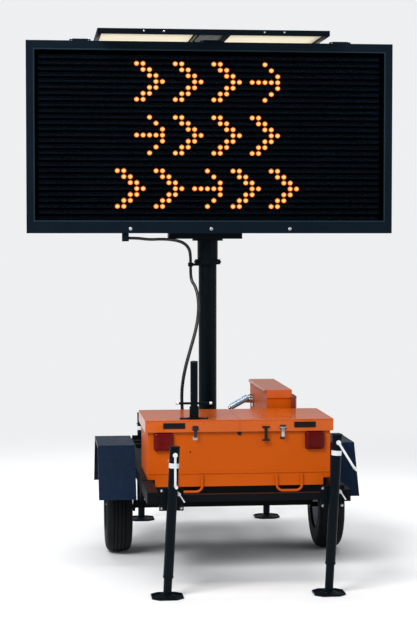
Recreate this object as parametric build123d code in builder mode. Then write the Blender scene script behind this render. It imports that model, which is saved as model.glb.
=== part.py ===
from build123d import *
import os
from math import cos, hypot, pi, radians, sin, tan

# A towed full-matrix message sign. +X is the right side seen from behind, +Y points to the
# drawbar, +Z is up, and the origin lies on the ground under the middle of the trailer.

# Overall
HALF_LENGTH = 2240.0
GRIP_REACH = 140.0        # rear jack centreline to the end of its crank grip
JACK_BASE = 2860.0        # rear jacks to front jacks
REAR_JACK_Y = -HALF_LENGTH + GRIP_REACH
FRONT_JACK_Y = REAR_JACK_Y + JACK_BASE
AXLE_Y = REAR_JACK_Y + 1570
MAST_Y = REAR_JACK_Y + 2600
CLEAR = 0.3               # gap between faces of different bodies
RUNNING = 0.05            # radial clearance of a running fit

# Chassis
RAIL_X = 617.0
RAIL_WIDTH = 70.0
RAIL_HEIGHT = 75.0
RAIL_WALL = 4.0
RAIL_TOP = 655.0
RAIL_BOTTOM = RAIL_TOP - RAIL_HEIGHT
RAIL_IN = RAIL_X - RAIL_WIDTH / 2
RAIL_OUT = RAIL_X + RAIL_WIDTH / 2
CROSS_WIDTH = 50.0
REAR_BAR_LOW = RAIL_BOTTOM + 12
REAR_BAR_HEIGHT = 45.0
UNDER_BAR = 50.0
DECK_THICK = 3.0
DECK_TOP = RAIL_TOP + DECK_THICK
DRAWBAR_WIDTH = 90.0
DRAWBAR_HEIGHT = 75.0
DRAWBAR_WALL = 5.0
COUPLER_LENGTH = 230.0
BALL_RADIUS = 25.4

# Jacks
JACK_X = 507.0
REAR_JACK_X = (-499.0, 532.0)
REAR_JACK_TILT = 3.0      # the rear jacks stand with their tops this far over to the right
JACK_RADIUS = 31.75
JACK_WALL = 4.75
LEG_RADIUS = JACK_RADIUS - JACK_WALL
PIVOT_Z = 612.0
PIN_RADIUS = 15.0
RING_RADIUS = 44.0
PLATE_WIDTH = 155.0
PLATE_HEIGHT = 145.0
PLATE_THICK = 10.0
PLATE_OFFSET = 52.0       # jack centreline to the face of its swivel plate
FRAME_OFFSET = PLATE_OFFSET + PLATE_THICK
CRANK_DROP = 50.0         # crank shaft below the top of the tube
CRANK_LENGTH = 190.0
CRANK_WIDTH = 14.0
SHAFT_RADIUS = 8.0
FOOT_WIDTH = 200.0
FOOT_THICK = 6.0
FRAME_REAR = REAR_JACK_Y + FRAME_OFFSET
FRAME_FRONT = FRONT_JACK_Y - FRAME_OFFSET

# Wheels and mudguards
TYRE_RADIUS = 313.0
TYRE_IN = 668.0
TYRE_WIDTH = 185.0
TYRE_OUT = TYRE_IN + TYRE_WIDTH
RIM_RADIUS = 168.0
SPINDLE_RADIUS = 18.0
BEAM = 50.0
BEAM_Y = AXLE_Y - 45
BEAM_Z = 345.0
ARM_THICK = 15.0
GUARD_IN = 655.0
GUARD_OUT = 915.0
GUARD_TOP = 800.0
GUARD_BOTTOM = 445.0
GUARD_TOP_HALF = 280.0
GUARD_BOTTOM_HALF = 480.0
GUARD_THICK = 3.0
GUARD_LIP = 22.0

# Battery box and its lids
BOX_HALF = 612.0
BOX_REAR = REAR_JACK_Y + 580
BOX_DEPTH = 640.0
BOX_FRONT = BOX_REAR + BOX_DEPTH
BOX_TOP = 1050.0
SHEET = 3.0
LID_HALF = 630.0
LID_OVERHANG = 18.0
LID_FLANGE = 79.0
LID_TOP = BOX_TOP + 1 + SHEET
LID_REAR = BOX_REAR - LID_OVERHANG
LID_SEAM = 1.0            # half the gap between the two lids
HINGE_Y = BOX_FRONT + 25
HINGE_Z = 1040.0
HINGE_ROD = 4.0
KNUCKLE = 8.0
APRON_HALF = 565.0
APRON_TOP = 688.0
APRON_BOTTOM = 610.0
LAMP_X = 507.0
LAMP_WIDTH = 130.0
LAMP_HEIGHT = 120.0
LAMP_Z = 910.0
LAMP_DEPTH = 26.0
HOOP_X = 335.0
HOOP_SPAN = 170.0
HOOP_ROD = 8.0
HOOP_BOTTOM = 569.0
HASP_LEFT_X = -297.0
HASP_RIGHT_X = 289.0
HASP_WIDTH = 34.0
HASP_PIVOT_Z = 1000.0
LATCH_X = 175.0
BATTERY = (260.0, 180.0, 270.0)
POST_X = -297.0
POST_Y = REAR_JACK_Y + 650
POST_RADIUS = 25.0
POST_HEIGHT = 380.0
BAR_Z = 1158.0
BAR_LENGTH = 244.0

# Control cabinet and lift motor
CABINET_LEFT = 280.0
CABINET_RIGHT = 453.0
CABINET_REAR = REAR_JACK_Y + 1270
CABINET_LENGTH = 890.0
CABINET_FRONT = CABINET_REAR + CABINET_LENGTH
CABINET_TOP = 1180.0
CABINET_FLANGE = 55.0
MOTOR_RADIUS = 22.5
MOTOR_LOW = (110.0, REAR_JACK_Y + 2000, 986.0)
MOTOR_HIGH = (243.0, REAR_JACK_Y + 2000, 1060.0)

# Mast
MAST_RADIUS = 70.5
MAST_WALL = 6.0
MAST_TOP = 2400.0
SLEEVE_WALL = 9.5
SLEEVE_RADIUS = MAST_RADIUS + SLEEVE_WALL
SLEEVE_BOTTOM = 2050.0
SLEEVE_TOP = 3440.0
COLLAR_RADIUS = SLEEVE_RADIUS + 20
COLLAR_HEIGHT = 40.0
FLANGE_RADIUS = SLEEVE_RADIUS + 40
FLANGE_Z = 2235.0
FLANGE_THICK = 15.0
BARREL_RADIUS = 28.0
ROD_RADIUS = 18.0
HEAD_RADIUS = SLEEVE_RADIUS + 8
HEAD_TOP = 3000.0
BASE_WIDTH = 300.0

# Sign
SIGN_HALF = 1410.0
SIGN_BOTTOM = 2293.0
SIGN_TOP = 3752.0
SIGN_DEPTH = 170.0
SIGN_BACK = MAST_Y - HEAD_RADIUS - 12
SIGN_FACE = SIGN_BACK - SIGN_DEPTH
DOOR_DEPTH = 20.0
BEZEL_SIDE = 52.0
BEZEL_TOP = 57.0
BEZEL_BOTTOM = 86.0
SLAT_HALF = 1316.0
WINDOW_THICK = 5.0
ROWS = 28
ROW_PITCH = 45.4
SLAT_HEIGHT = 27.0
SLAT_DEPTH = 24.0
BOARD_THICK = 12.0
CHANNEL = 80.0
CHANNEL_WALL = 4.0

# Solar panel
PANEL_HALF = 877.5
PANEL_DEPTH = 1038.0
PANEL_THICK = 40.0
PANEL_BOTTOM = 3781.0
PANEL_REAR = REAR_JACK_Y + 2105
PIVOT_Y = REAR_JACK_Y + 2560
PIVOT_ROD_Z = 3764.0
PIVOT_ROD = 8.0
MOUNT_HALF = 145.0

# Conduit
CONDUIT_RADIUS = 12.5
GLAND_X = -292.0
GLAND_Z = 872.0
GLAND_RADIUS = 17.0
GLAND_END = BOX_FRONT + 34
CLAMP_X = -140.0
CLAMP_Y = MAST_Y - 60
CLAMP_LOW = 2035.0
CLAMP_HIGH = 2065.0
ENTRY_X = -632.0
ENTRY_Y = MAST_Y - 214
ENTRY_Z = 2256.0

os.makedirs("parts", exist_ok=True)


def save(piece, name):
    """Label a finished piece and write it as its own file."""
    piece.part.label = name
    export_step(piece.part, f"parts/{name}.step")


def block(x, y, z, mode=Mode.ADD):
    """A box in the open part between pairs of low and high values on each axis."""
    centre = ((x[0] + x[1]) / 2, (y[0] + y[1]) / 2, (z[0] + z[1]) / 2)
    with Locations(centre):
        Box(x[1] - x[0], y[1] - y[0], z[1] - z[0], mode=mode)


def tube_bar(x, y, z, wall):
    """A square tube in the open part with closed ends."""
    block(x, y, z)
    block((x[0] + wall, x[1] - wall), (y[0] + wall, y[1] - wall), (z[0] + wall, z[1] - wall),
          mode=Mode.SUBTRACT)


def rod(start, end, radius, mode=Mode.ADD):
    """A round bar in the open part from one point to another."""
    span = Vector(*end) - Vector(*start)
    with BuildSketch(Plane(origin=start, z_dir=span)) as section:
        Circle(radius)
    extrude(section.sketch, amount=span.length, mode=mode)


def shell(x, y, z, wall, open_top=False, open_rear=False):
    """A sheet-metal box in the open part, open at the top or at the rear."""
    block(x, y, z)
    inner_z = (z[0] + wall, z[1] + wall if open_top else z[1] - wall)
    inner_y = (y[0] - wall if open_rear else y[0] + wall, y[1] - wall)
    block((x[0] + wall, x[1] - wall), inner_y, inner_z, mode=Mode.SUBTRACT)


# Chassis

with BuildPart() as chassis_rails:
    for side in (-1, 1):
        middle = side * RAIL_X
        tube_bar((middle - RAIL_WIDTH / 2, middle + RAIL_WIDTH / 2), (FRAME_REAR, FRAME_FRONT),
                 (RAIL_BOTTOM, RAIL_TOP), RAIL_WALL)
save(chassis_rails, "chassis_rails")

MAST_CROSS = (MAST_Y - MAST_RADIUS - 30, MAST_Y + MAST_RADIUS + 30)
CROSS_PLACES = (BOX_REAR + 60, BOX_FRONT - 20, BEAM_Y + 140,
                CABINET_FRONT - 20, *MAST_CROSS, FRAME_FRONT - CROSS_WIDTH / 2)
UNDER_BAR_Y = BOX_REAR + 120
with BuildPart() as cross_members:
    for place in CROSS_PLACES:
        tube_bar((-RAIL_IN, RAIL_IN), (place - CROSS_WIDTH / 2, place + CROSS_WIDTH / 2),
                 (RAIL_BOTTOM, RAIL_TOP), RAIL_WALL)
    tube_bar((-RAIL_IN, RAIL_IN), (FRAME_REAR, FRAME_REAR + CROSS_WIDTH),
             (REAR_BAR_LOW, REAR_BAR_LOW + REAR_BAR_HEIGHT), RAIL_WALL)
    tube_bar((-RAIL_OUT, RAIL_OUT), (UNDER_BAR_Y, UNDER_BAR_Y + UNDER_BAR),
             (RAIL_BOTTOM - UNDER_BAR, RAIL_BOTTOM), RAIL_WALL)
save(cross_members, "cross_members")

DRAWBAR_TOP = RAIL_BOTTOM
DRAWBAR_BOTTOM = DRAWBAR_TOP - DRAWBAR_HEIGHT
DRAWBAR_REAR = CABINET_FRONT - 60
COUPLER_REAR = HALF_LENGTH - COUPLER_LENGTH
with BuildPart() as drawbar:
    block((-DRAWBAR_WIDTH / 2, DRAWBAR_WIDTH / 2), (DRAWBAR_REAR, COUPLER_REAR),
          (DRAWBAR_BOTTOM, DRAWBAR_TOP))
    block((-DRAWBAR_WIDTH / 2 + DRAWBAR_WALL, DRAWBAR_WIDTH / 2 - DRAWBAR_WALL),
          (DRAWBAR_REAR - 1, COUPLER_REAR + 1),
          (DRAWBAR_BOTTOM + DRAWBAR_WALL, DRAWBAR_TOP - DRAWBAR_WALL), mode=Mode.SUBTRACT)
save(drawbar, "drawbar")

# Ball coupler: a pressed channel with a domed nose over a half-round socket
NOSE_RADIUS = 42.0
BALL_Y = HALF_LENGTH - NOSE_RADIUS
BALL_Z = DRAWBAR_BOTTOM + 12
LATCH_WIDTH = 24.0
LATCH_Y = BALL_Y - 95
LATCH_Z = DRAWBAR_TOP + 16
with BuildPart() as coupler_body:
    block((-DRAWBAR_WIDTH / 2, DRAWBAR_WIDTH / 2), (COUPLER_REAR, COUPLER_REAR + 40),
          (DRAWBAR_BOTTOM, DRAWBAR_TOP))
    block((-NOSE_RADIUS, NOSE_RADIUS), (COUPLER_REAR + 40, BALL_Y), (DRAWBAR_BOTTOM + 8, DRAWBAR_TOP))
    with BuildSketch(Plane.XY.offset(DRAWBAR_BOTTOM + 8)):
        with Locations((0, BALL_Y)):
            Circle(NOSE_RADIUS)
    extrude(amount=DRAWBAR_HEIGHT - 8)
    with Locations((0, BALL_Y, BALL_Z)):
        Sphere(BALL_RADIUS + 0.4, mode=Mode.SUBTRACT)
    rod((0, BALL_Y, DRAWBAR_BOTTOM - 1), (0, BALL_Y, BALL_Z), BALL_RADIUS + 0.4, Mode.SUBTRACT)
    for side in (-1, 1):
        inner = side * (LATCH_WIDTH / 2 + 1)
        outer = side * (LATCH_WIDTH / 2 + 7)
        block(sorted((inner, outer)), (LATCH_Y - 12, LATCH_Y + 12), (DRAWBAR_TOP, LATCH_Z + 10))
    rod((-LATCH_WIDTH / 2 - 7, LATCH_Y, LATCH_Z), (LATCH_WIDTH / 2 + 7, LATCH_Y, LATCH_Z), 4)
save(coupler_body, "coupler_body")

with BuildPart() as coupler_latch:
    rod((-LATCH_WIDTH / 2, LATCH_Y, LATCH_Z), (LATCH_WIDTH / 2, LATCH_Y, LATCH_Z), 9)
    block((-LATCH_WIDTH / 2, LATCH_WIDTH / 2), (LATCH_Y, BALL_Y + 8), (LATCH_Z + 1, LATCH_Z + 7))
    rod((-LATCH_WIDTH / 2 - 1, LATCH_Y, LATCH_Z), (LATCH_WIDTH / 2 + 1, LATCH_Y, LATCH_Z),
        4 + RUNNING, Mode.SUBTRACT)
save(coupler_latch, "coupler_latch")

with BuildPart() as deck_plate:
    block((-RAIL_OUT, RAIL_OUT), (BOX_REAR, CABINET_FRONT + 40), (RAIL_TOP, DECK_TOP))
save(deck_plate, "deck_plate")

# Axle

SPINDLE_END = TYRE_OUT - 70
with BuildPart() as axle_beam:
    block((-RAIL_OUT + ARM_THICK, RAIL_OUT - ARM_THICK), (BEAM_Y - BEAM / 2, BEAM_Y + BEAM / 2),
          (BEAM_Z - BEAM / 2, BEAM_Z + BEAM / 2))
    for side in (-1, 1):
        arm_in = side * (RAIL_OUT - ARM_THICK)
        arm_out = side * RAIL_OUT
        rod((arm_in, BEAM_Y, BEAM_Z), (arm_out, BEAM_Y, BEAM_Z), 34)
        rod((arm_in, AXLE_Y, TYRE_RADIUS), (arm_out, AXLE_Y, TYRE_RADIUS), 28)
        with BuildSketch(Plane.YZ.offset(min(arm_in, arm_out))):
            with BuildLine():
                Polyline((BEAM_Y, BEAM_Z + 30), (AXLE_Y, TYRE_RADIUS + 26),
                         (AXLE_Y, TYRE_RADIUS - 26), (BEAM_Y, BEAM_Z - 30), close=True)
            make_face()
        extrude(amount=ARM_THICK)
        rod((arm_in, AXLE_Y, TYRE_RADIUS), (side * SPINDLE_END, AXLE_Y, TYRE_RADIUS), SPINDLE_RADIUS)
save(axle_beam, "axle_beam")

with BuildPart() as axle_hangers:
    for side in (-1, 1):
        with BuildSketch(Plane.YZ.offset(side * RAIL_X - 5)):
            with BuildLine():
                Polyline((BEAM_Y - 65, RAIL_BOTTOM), (BEAM_Y + 65, RAIL_BOTTOM),
                         (BEAM_Y + BEAM / 2, BEAM_Z + BEAM / 2), (BEAM_Y - BEAM / 2, BEAM_Z + BEAM / 2),
                         close=True)
            make_face()
        extrude(amount=10)
save(axle_hangers, "axle_hangers")

# Wheels: the profiles are half sections turned about the axle

RIM_SEAT = RIM_RADIUS - CLEAR
HUB_RADIUS = 55.0
for side, name in ((-1, "left"), (1, "right")):
    inner_x = side * TYRE_IN
    outer_x = side * TYRE_OUT
    shoulder = side * 22.0
    with BuildPart() as tyre:
        with BuildSketch(Plane.XZ.offset(-AXLE_Y)):
            with BuildLine():
                Polyline((inner_x + shoulder, TYRE_RADIUS + RIM_RADIUS),
                         (inner_x + 1.4 * shoulder, TYRE_RADIUS + RIM_RADIUS),
                         (outer_x - 1.4 * shoulder, TYRE_RADIUS + RIM_RADIUS),
                         (outer_x - shoulder, TYRE_RADIUS + RIM_RADIUS))
                ThreePointArc((outer_x - shoulder, TYRE_RADIUS + RIM_RADIUS),
                              (outer_x, TYRE_RADIUS + 235), (outer_x - shoulder, 2 * TYRE_RADIUS - 10))
                Line((outer_x - shoulder, 2 * TYRE_RADIUS - 10),
                     (outer_x - 1.8 * shoulder, 2 * TYRE_RADIUS))
                Line((outer_x - 1.8 * shoulder, 2 * TYRE_RADIUS),
                     (inner_x + 1.8 * shoulder, 2 * TYRE_RADIUS))
                Line((inner_x + 1.8 * shoulder, 2 * TYRE_RADIUS),
                     (inner_x + shoulder, 2 * TYRE_RADIUS - 10))
                ThreePointArc((inner_x + shoulder, 2 * TYRE_RADIUS - 10),
                              (inner_x, TYRE_RADIUS + 235), (inner_x + shoulder, TYRE_RADIUS + RIM_RADIUS))
            make_face()
        revolve(axis=Axis((0, AXLE_Y, TYRE_RADIUS), (1, 0, 0)))
    save(tyre, f"tyre_{name}")

    disc_x = inner_x + side * 118
    with BuildPart() as rim:
        rod((inner_x + shoulder * 1.2, AXLE_Y, TYRE_RADIUS), (outer_x - shoulder * 1.2, AXLE_Y, TYRE_RADIUS),
            RIM_SEAT)
        rod((inner_x, AXLE_Y, TYRE_RADIUS), (outer_x, AXLE_Y, TYRE_RADIUS), RIM_SEAT - 8, Mode.SUBTRACT)
        rod((disc_x, AXLE_Y, TYRE_RADIUS), (disc_x + side * 8, AXLE_Y, TYRE_RADIUS), RIM_SEAT - 4)
        rod((disc_x - side * 70, AXLE_Y, TYRE_RADIUS), (disc_x + side * 30, AXLE_Y, TYRE_RADIUS), HUB_RADIUS)
        rod((disc_x - side * 71, AXLE_Y, TYRE_RADIUS), (side * SPINDLE_END + side * 2, AXLE_Y, TYRE_RADIUS),
            SPINDLE_RADIUS + RUNNING, Mode.SUBTRACT)
    save(rim, f"rim_{name}")


def guard_outline(inset):
    """The mudguard's side outline, a trapezoid drawn in by an even amount and open below."""
    rise = GUARD_TOP - GUARD_BOTTOM
    run = GUARD_BOTTOM_HALF - GUARD_TOP_HALF
    shift = inset * hypot(rise, run) / rise
    drop = inset and inset + 1
    slope = run / rise
    top_half = GUARD_TOP_HALF - shift + slope * inset
    low_half = GUARD_BOTTOM_HALF - shift + slope * drop
    Polygon((AXLE_Y - low_half, GUARD_BOTTOM - drop), (AXLE_Y - top_half, GUARD_TOP - inset),
            (AXLE_Y + top_half, GUARD_TOP - inset), (AXLE_Y + low_half, GUARD_BOTTOM - drop),
            align=None)


for side, name in ((-1, "left"), (1, "right")):
    low_x = min(side * GUARD_IN, side * GUARD_OUT)
    lip_x = side * GUARD_OUT - (GUARD_THICK if side > 0 else 0)
    with BuildPart() as fender:
        with BuildSketch(Plane.YZ.offset(low_x)):
            guard_outline(0)
        extrude(amount=GUARD_OUT - GUARD_IN)
        with BuildSketch(Plane.YZ.offset(low_x - 1)):
            guard_outline(GUARD_THICK)
        extrude(amount=GUARD_OUT - GUARD_IN + 2, mode=Mode.SUBTRACT)
        with BuildSketch(Plane.YZ.offset(lip_x)):
            guard_outline(0)
        extrude(amount=GUARD_THICK)
        with BuildSketch(Plane.YZ.offset(lip_x - 1)):
            guard_outline(GUARD_LIP)
        extrude(amount=GUARD_THICK + 2, mode=Mode.SUBTRACT)
        for tab in (-170, 90):
            tab_x = sorted((side * RAIL_OUT, side * (GUARD_IN + 4)))
            block(tab_x, (AXLE_Y + tab, AXLE_Y + tab + 80), (RAIL_BOTTOM + 20, GUARD_TOP - 1))
    save(fender, f"fender_{name}")

# Jacks: one swivel plate, tube, leg and crank at each corner

with BuildPart() as jack_plates:
    for jack_y, away, places in ((REAR_JACK_Y, 1, REAR_JACK_X), (FRONT_JACK_Y, -1, (-JACK_X, JACK_X))):
        faces = sorted((jack_y + away * PLATE_OFFSET, jack_y + away * FRAME_OFFSET))
        for x in places:
            block((x - PLATE_WIDTH / 2, x + PLATE_WIDTH / 2), faces,
                  (PIVOT_Z - PLATE_HEIGHT / 2, PIVOT_Z + PLATE_HEIGHT / 2))
            rod((x, faces[0] - 1, PIVOT_Z), (x, faces[1] + 1, PIVOT_Z), PIN_RADIUS + RUNNING,
                Mode.SUBTRACT)
save(jack_plates, "jack_plates")


def make_jack(name, x, tilt, jack_y, away, low, top, leg_top, lean):
    """One jack: away is the Y direction from its tube to the frame, lean the crank's angle."""
    gear_y = jack_y - away * 48
    shaft_z = top - CRANK_DROP

    def on_axis(z):
        """The point of the tube's leaning centreline at a height."""
        return (x + (z - PIVOT_Z) * tan(radians(tilt)), jack_y, z)

    with BuildPart() as tube:
        rod(on_axis(low), on_axis(top), JACK_RADIUS)
        block((x - 26, x + 26), sorted((jack_y, jack_y + away * 42)), (PIVOT_Z - 36, PIVOT_Z + 36))
        rod((x, jack_y + away * 40, PIVOT_Z), (x, jack_y + away * (PLATE_OFFSET - CLEAR), PIVOT_Z),
            RING_RADIUS)
        rod((x, jack_y + away * 44, PIVOT_Z), (x, jack_y + away * (FRAME_OFFSET - CLEAR), PIVOT_Z),
            PIN_RADIUS)
        shaft_x = on_axis(shaft_z)[0]
        rod((shaft_x, jack_y, shaft_z), (shaft_x, gear_y, shaft_z), 19)
        rod(on_axis(low - 1), on_axis(top - 6), LEG_RADIUS + RUNNING, Mode.SUBTRACT)
        rod((shaft_x, jack_y, shaft_z), (shaft_x, gear_y - away, shaft_z), SHAFT_RADIUS + RUNNING,
            Mode.SUBTRACT)
    save(tube, f"jack_tube_{name}")

    with BuildPart() as leg:
        rod(on_axis(FOOT_THICK), on_axis(leg_top), LEG_RADIUS)
        rod(on_axis(FOOT_THICK + 14), on_axis(leg_top + 1), LEG_RADIUS - 4, Mode.SUBTRACT)
        rod(on_axis(FOOT_THICK), on_axis(FOOT_THICK + 12), LEG_RADIUS + 13)
        with BuildSketch(Plane.XY):
            with Locations(on_axis(0)[:2]):
                foot = Rectangle(FOOT_WIDTH, FOOT_WIDTH)
            chamfer(foot.vertices(), 45)
        extrude(amount=FOOT_THICK)
    save(leg, f"jack_leg_{name}")

    # The crank: shaft in the gear boss, flat arm, and a grip that points away from the tube
    arm_in = jack_y - away * 50
    arm_out = jack_y - away * 57
    tip_x = shaft_x + CRANK_LENGTH * sin(radians(lean))
    tip_z = shaft_z - CRANK_LENGTH * cos(radians(lean))
    with BuildPart() as crank:
        rod((shaft_x, jack_y - away * 30, shaft_z), (shaft_x, arm_out, shaft_z), SHAFT_RADIUS)
        rod((shaft_x, arm_in, shaft_z), (shaft_x, arm_out - away, shaft_z), 15)
        rod((tip_x, arm_in, tip_z), (tip_x, arm_out, tip_z), 9)
        across = Plane(origin=(shaft_x, min(arm_in, arm_out), shaft_z),
                       x_dir=(tip_x - shaft_x, 0, tip_z - shaft_z), z_dir=(0, 1, 0))
        with BuildSketch(across):
            with Locations((CRANK_LENGTH / 2, 0)):
                Rectangle(CRANK_LENGTH, CRANK_WIDTH)
        extrude(amount=abs(arm_out - arm_in))
        rod((tip_x, arm_in, tip_z), (tip_x, jack_y - away * (GRIP_REACH - 4), tip_z), 6)
        rod((tip_x, arm_out - away * 2, tip_z), (tip_x, jack_y - away * GRIP_REACH, tip_z), 10)
    save(crank, f"jack_crank_{name}")


make_jack("rear_left", REAR_JACK_X[0], REAR_JACK_TILT, REAR_JACK_Y, 1, 123, 955, 503, 0)
make_jack("rear_right", REAR_JACK_X[1], REAR_JACK_TILT, REAR_JACK_Y, 1, 188, 1021, 568, 32)
make_jack("front_left", -JACK_X, 0, FRONT_JACK_Y, -1, 300, 860, 500, 0)
make_jack("front_right", JACK_X, 0, FRONT_JACK_Y, -1, 300, 860, 500, 0)

# Battery box, its lids and what is on it

with BuildPart() as battery_box:
    shell((-BOX_HALF, BOX_HALF), (BOX_REAR, BOX_FRONT), (DECK_TOP, BOX_TOP), SHEET, open_top=True)
    rod((-BOX_HALF, HINGE_Y, HINGE_Z), (BOX_HALF, HINGE_Y, HINGE_Z), HINGE_ROD)
    for lug in (-BOX_HALF, -6, BOX_HALF - 12):
        block((lug, lug + 12), (BOX_FRONT - 1, HINGE_Y + 3), (HINGE_Z - 14, HINGE_Z))
    rod((GLAND_X, BOX_FRONT - 1, GLAND_Z), (GLAND_X, GLAND_END, GLAND_Z), GLAND_RADIUS)
save(battery_box, "battery_box")

with BuildPart() as batteries:
    for column in range(4):
        for row in range(2):
            left = -BOX_HALF + 50 + column * (BATTERY[0] + 24)
            rear = BOX_REAR + 90 + row * (BATTERY[1] + 90)
            block((left, left + BATTERY[0]), (rear, rear + BATTERY[1]),
                  (DECK_TOP + SHEET, DECK_TOP + SHEET + BATTERY[2]))
save(batteries, "batteries")

for side, name in ((-1, "left"), (1, "right")):
    seam = side * LID_SEAM
    edge = side * LID_HALF
    with BuildPart() as lid:
        block(sorted((seam, edge)), (LID_REAR, HINGE_Y - 12), (LID_TOP - SHEET, LID_TOP))
        block(sorted((seam, edge)), (LID_REAR, LID_REAR + SHEET), (LID_TOP - LID_FLANGE, LID_TOP))
        block(sorted((edge - side * SHEET, edge)), (LID_REAR, HINGE_Y - 12),
              (LID_TOP - LID_FLANGE, LID_TOP))
        knuckle_x = (side * 10, side * (BOX_HALF - 16))
        rod((knuckle_x[0], HINGE_Y, HINGE_Z), (knuckle_x[1], HINGE_Y, HINGE_Z), KNUCKLE)
        block(sorted(knuckle_x), (HINGE_Y - 13, HINGE_Y - 5), (HINGE_Z + 1, LID_TOP))
        rod((knuckle_x[0] - side, HINGE_Y, HINGE_Z), (knuckle_x[1] + side, HINGE_Y, HINGE_Z),
            HINGE_ROD + RUNNING, Mode.SUBTRACT)
    save(lid, f"battery_lid_{name}")

HOOP_Y = BOX_REAR - SHEET - HOOP_ROD
with BuildPart() as box_apron:
    block((-APRON_HALF, APRON_HALF), (BOX_REAR - SHEET, BOX_REAR), (APRON_BOTTOM, APRON_TOP))
save(box_apron, "box_apron")

with BuildPart() as tie_down_hoops:
    for side in (-1, 1):
        left = side * HOOP_X - HOOP_SPAN / 2
        right = side * HOOP_X + HOOP_SPAN / 2
        with BuildLine() as bend:
            FilletPolyline((left, HOOP_Y, APRON_TOP), (left, HOOP_Y, HOOP_BOTTOM + HOOP_ROD),
                           (right, HOOP_Y, HOOP_BOTTOM + HOOP_ROD), (right, HOOP_Y, APRON_TOP),
                           radius=40)
        with BuildSketch(Plane(origin=(left, HOOP_Y, APRON_TOP), z_dir=(0, 0, -1))):
            Circle(HOOP_ROD)
        sweep(path=bend.wires()[0])
save(tie_down_hoops, "tie_down_hoops")

with BuildPart() as tail_lights:
    for side in (-1, 1):
        with BuildSketch(Plane.XZ.offset(-BOX_REAR)):
            with Locations((side * LAMP_X, LAMP_Z)):
                RectangleRounded(LAMP_WIDTH, LAMP_HEIGHT, 18)
        extrude(amount=LAMP_DEPTH)
    fillet(tail_lights.faces().group_by(Axis.Y)[0].edges(), 8)
save(tail_lights, "tail_lights")

FLANGE_FACE = LID_REAR
for middle, name in ((HASP_LEFT_X, "left"), (HASP_RIGHT_X, "right")):
    with BuildPart() as hasp:
        rod((middle - HASP_WIDTH / 2, FLANGE_FACE - 6, HASP_PIVOT_Z),
            (middle + HASP_WIDTH / 2, FLANGE_FACE - 6, HASP_PIVOT_Z), 5.5)
        block((middle - HASP_WIDTH / 2 + 3, middle + HASP_WIDTH / 2 - 3),
              (FLANGE_FACE - 9, FLANGE_FACE - 5), (HASP_PIVOT_Z - 66, HASP_PIVOT_Z))
    save(hasp, f"hasp_{name}")

with BuildPart() as rubber_latch:
    block((LATCH_X - 11, LATCH_X + 11), (LID_REAR - 12, LID_REAR - CLEAR), (909, 1012))
    block((LATCH_X - 26, LATCH_X + 26), (LID_REAR - 12, LID_REAR - CLEAR), (909, 925))
    block((LATCH_X - 26, LATCH_X + 26), (LID_REAR - 12, LID_REAR - CLEAR), (996, 1012))
    block((LATCH_X - 18, LATCH_X + 18), (LID_REAR - 1, BOX_REAR - CLEAR), (909, 925))
save(rubber_latch, "rubber_latch")

BAR_RADIUS = 8.0
with BuildPart() as lid_post:
    rod((POST_X, POST_Y, LID_TOP), (POST_X, POST_Y, LID_TOP + 8), 46)
    block((POST_X - 95, POST_X + 95), (POST_Y - 22, POST_Y + 22), (LID_TOP, LID_TOP + 6))
    rod((POST_X, POST_Y, LID_TOP), (POST_X, POST_Y, BAR_Z - 20), POST_RADIUS)
    rod((POST_X, POST_Y, BAR_Z - 21), (POST_X, POST_Y, BAR_Z + 30), 12)
    rod((POST_X, POST_Y, BAR_Z + 20), (POST_X, POST_Y, LID_TOP + POST_HEIGHT), POST_RADIUS)
save(lid_post, "lid_post")

with BuildPart() as clamp_bar:
    rod((POST_X, POST_Y, BAR_Z - 20 + CLEAR), (POST_X, POST_Y, BAR_Z + 20 - CLEAR), 24)
    rod((POST_X - BAR_LENGTH / 2, POST_Y, BAR_Z), (POST_X + BAR_LENGTH / 2, POST_Y, BAR_Z), BAR_RADIUS)
    rod((POST_X, POST_Y, BAR_Z - 30), (POST_X, POST_Y, BAR_Z + 30), 12 + RUNNING, Mode.SUBTRACT)
save(clamp_bar, "clamp_bar")

# Control cabinet and lift motor

CABINET_HINGE = (CABINET_LEFT - 8, CABINET_TOP - 8)
with BuildPart() as cabinet_body:
    shell((CABINET_LEFT, CABINET_RIGHT), (CABINET_REAR, CABINET_FRONT),
          (DECK_TOP, CABINET_TOP - 1), SHEET, open_top=True)
    rod((CABINET_HINGE[0], CABINET_REAR, CABINET_HINGE[1]),
        (CABINET_HINGE[0], CABINET_FRONT, CABINET_HINGE[1]), HINGE_ROD)
    for lug in (CABINET_REAR, CABINET_FRONT - 12):
        block((CABINET_HINGE[0] - 3, CABINET_LEFT + 1), (lug, lug + 12),
              (CABINET_HINGE[1] - 12, CABINET_HINGE[1]))
save(cabinet_body, "cabinet_body")

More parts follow.
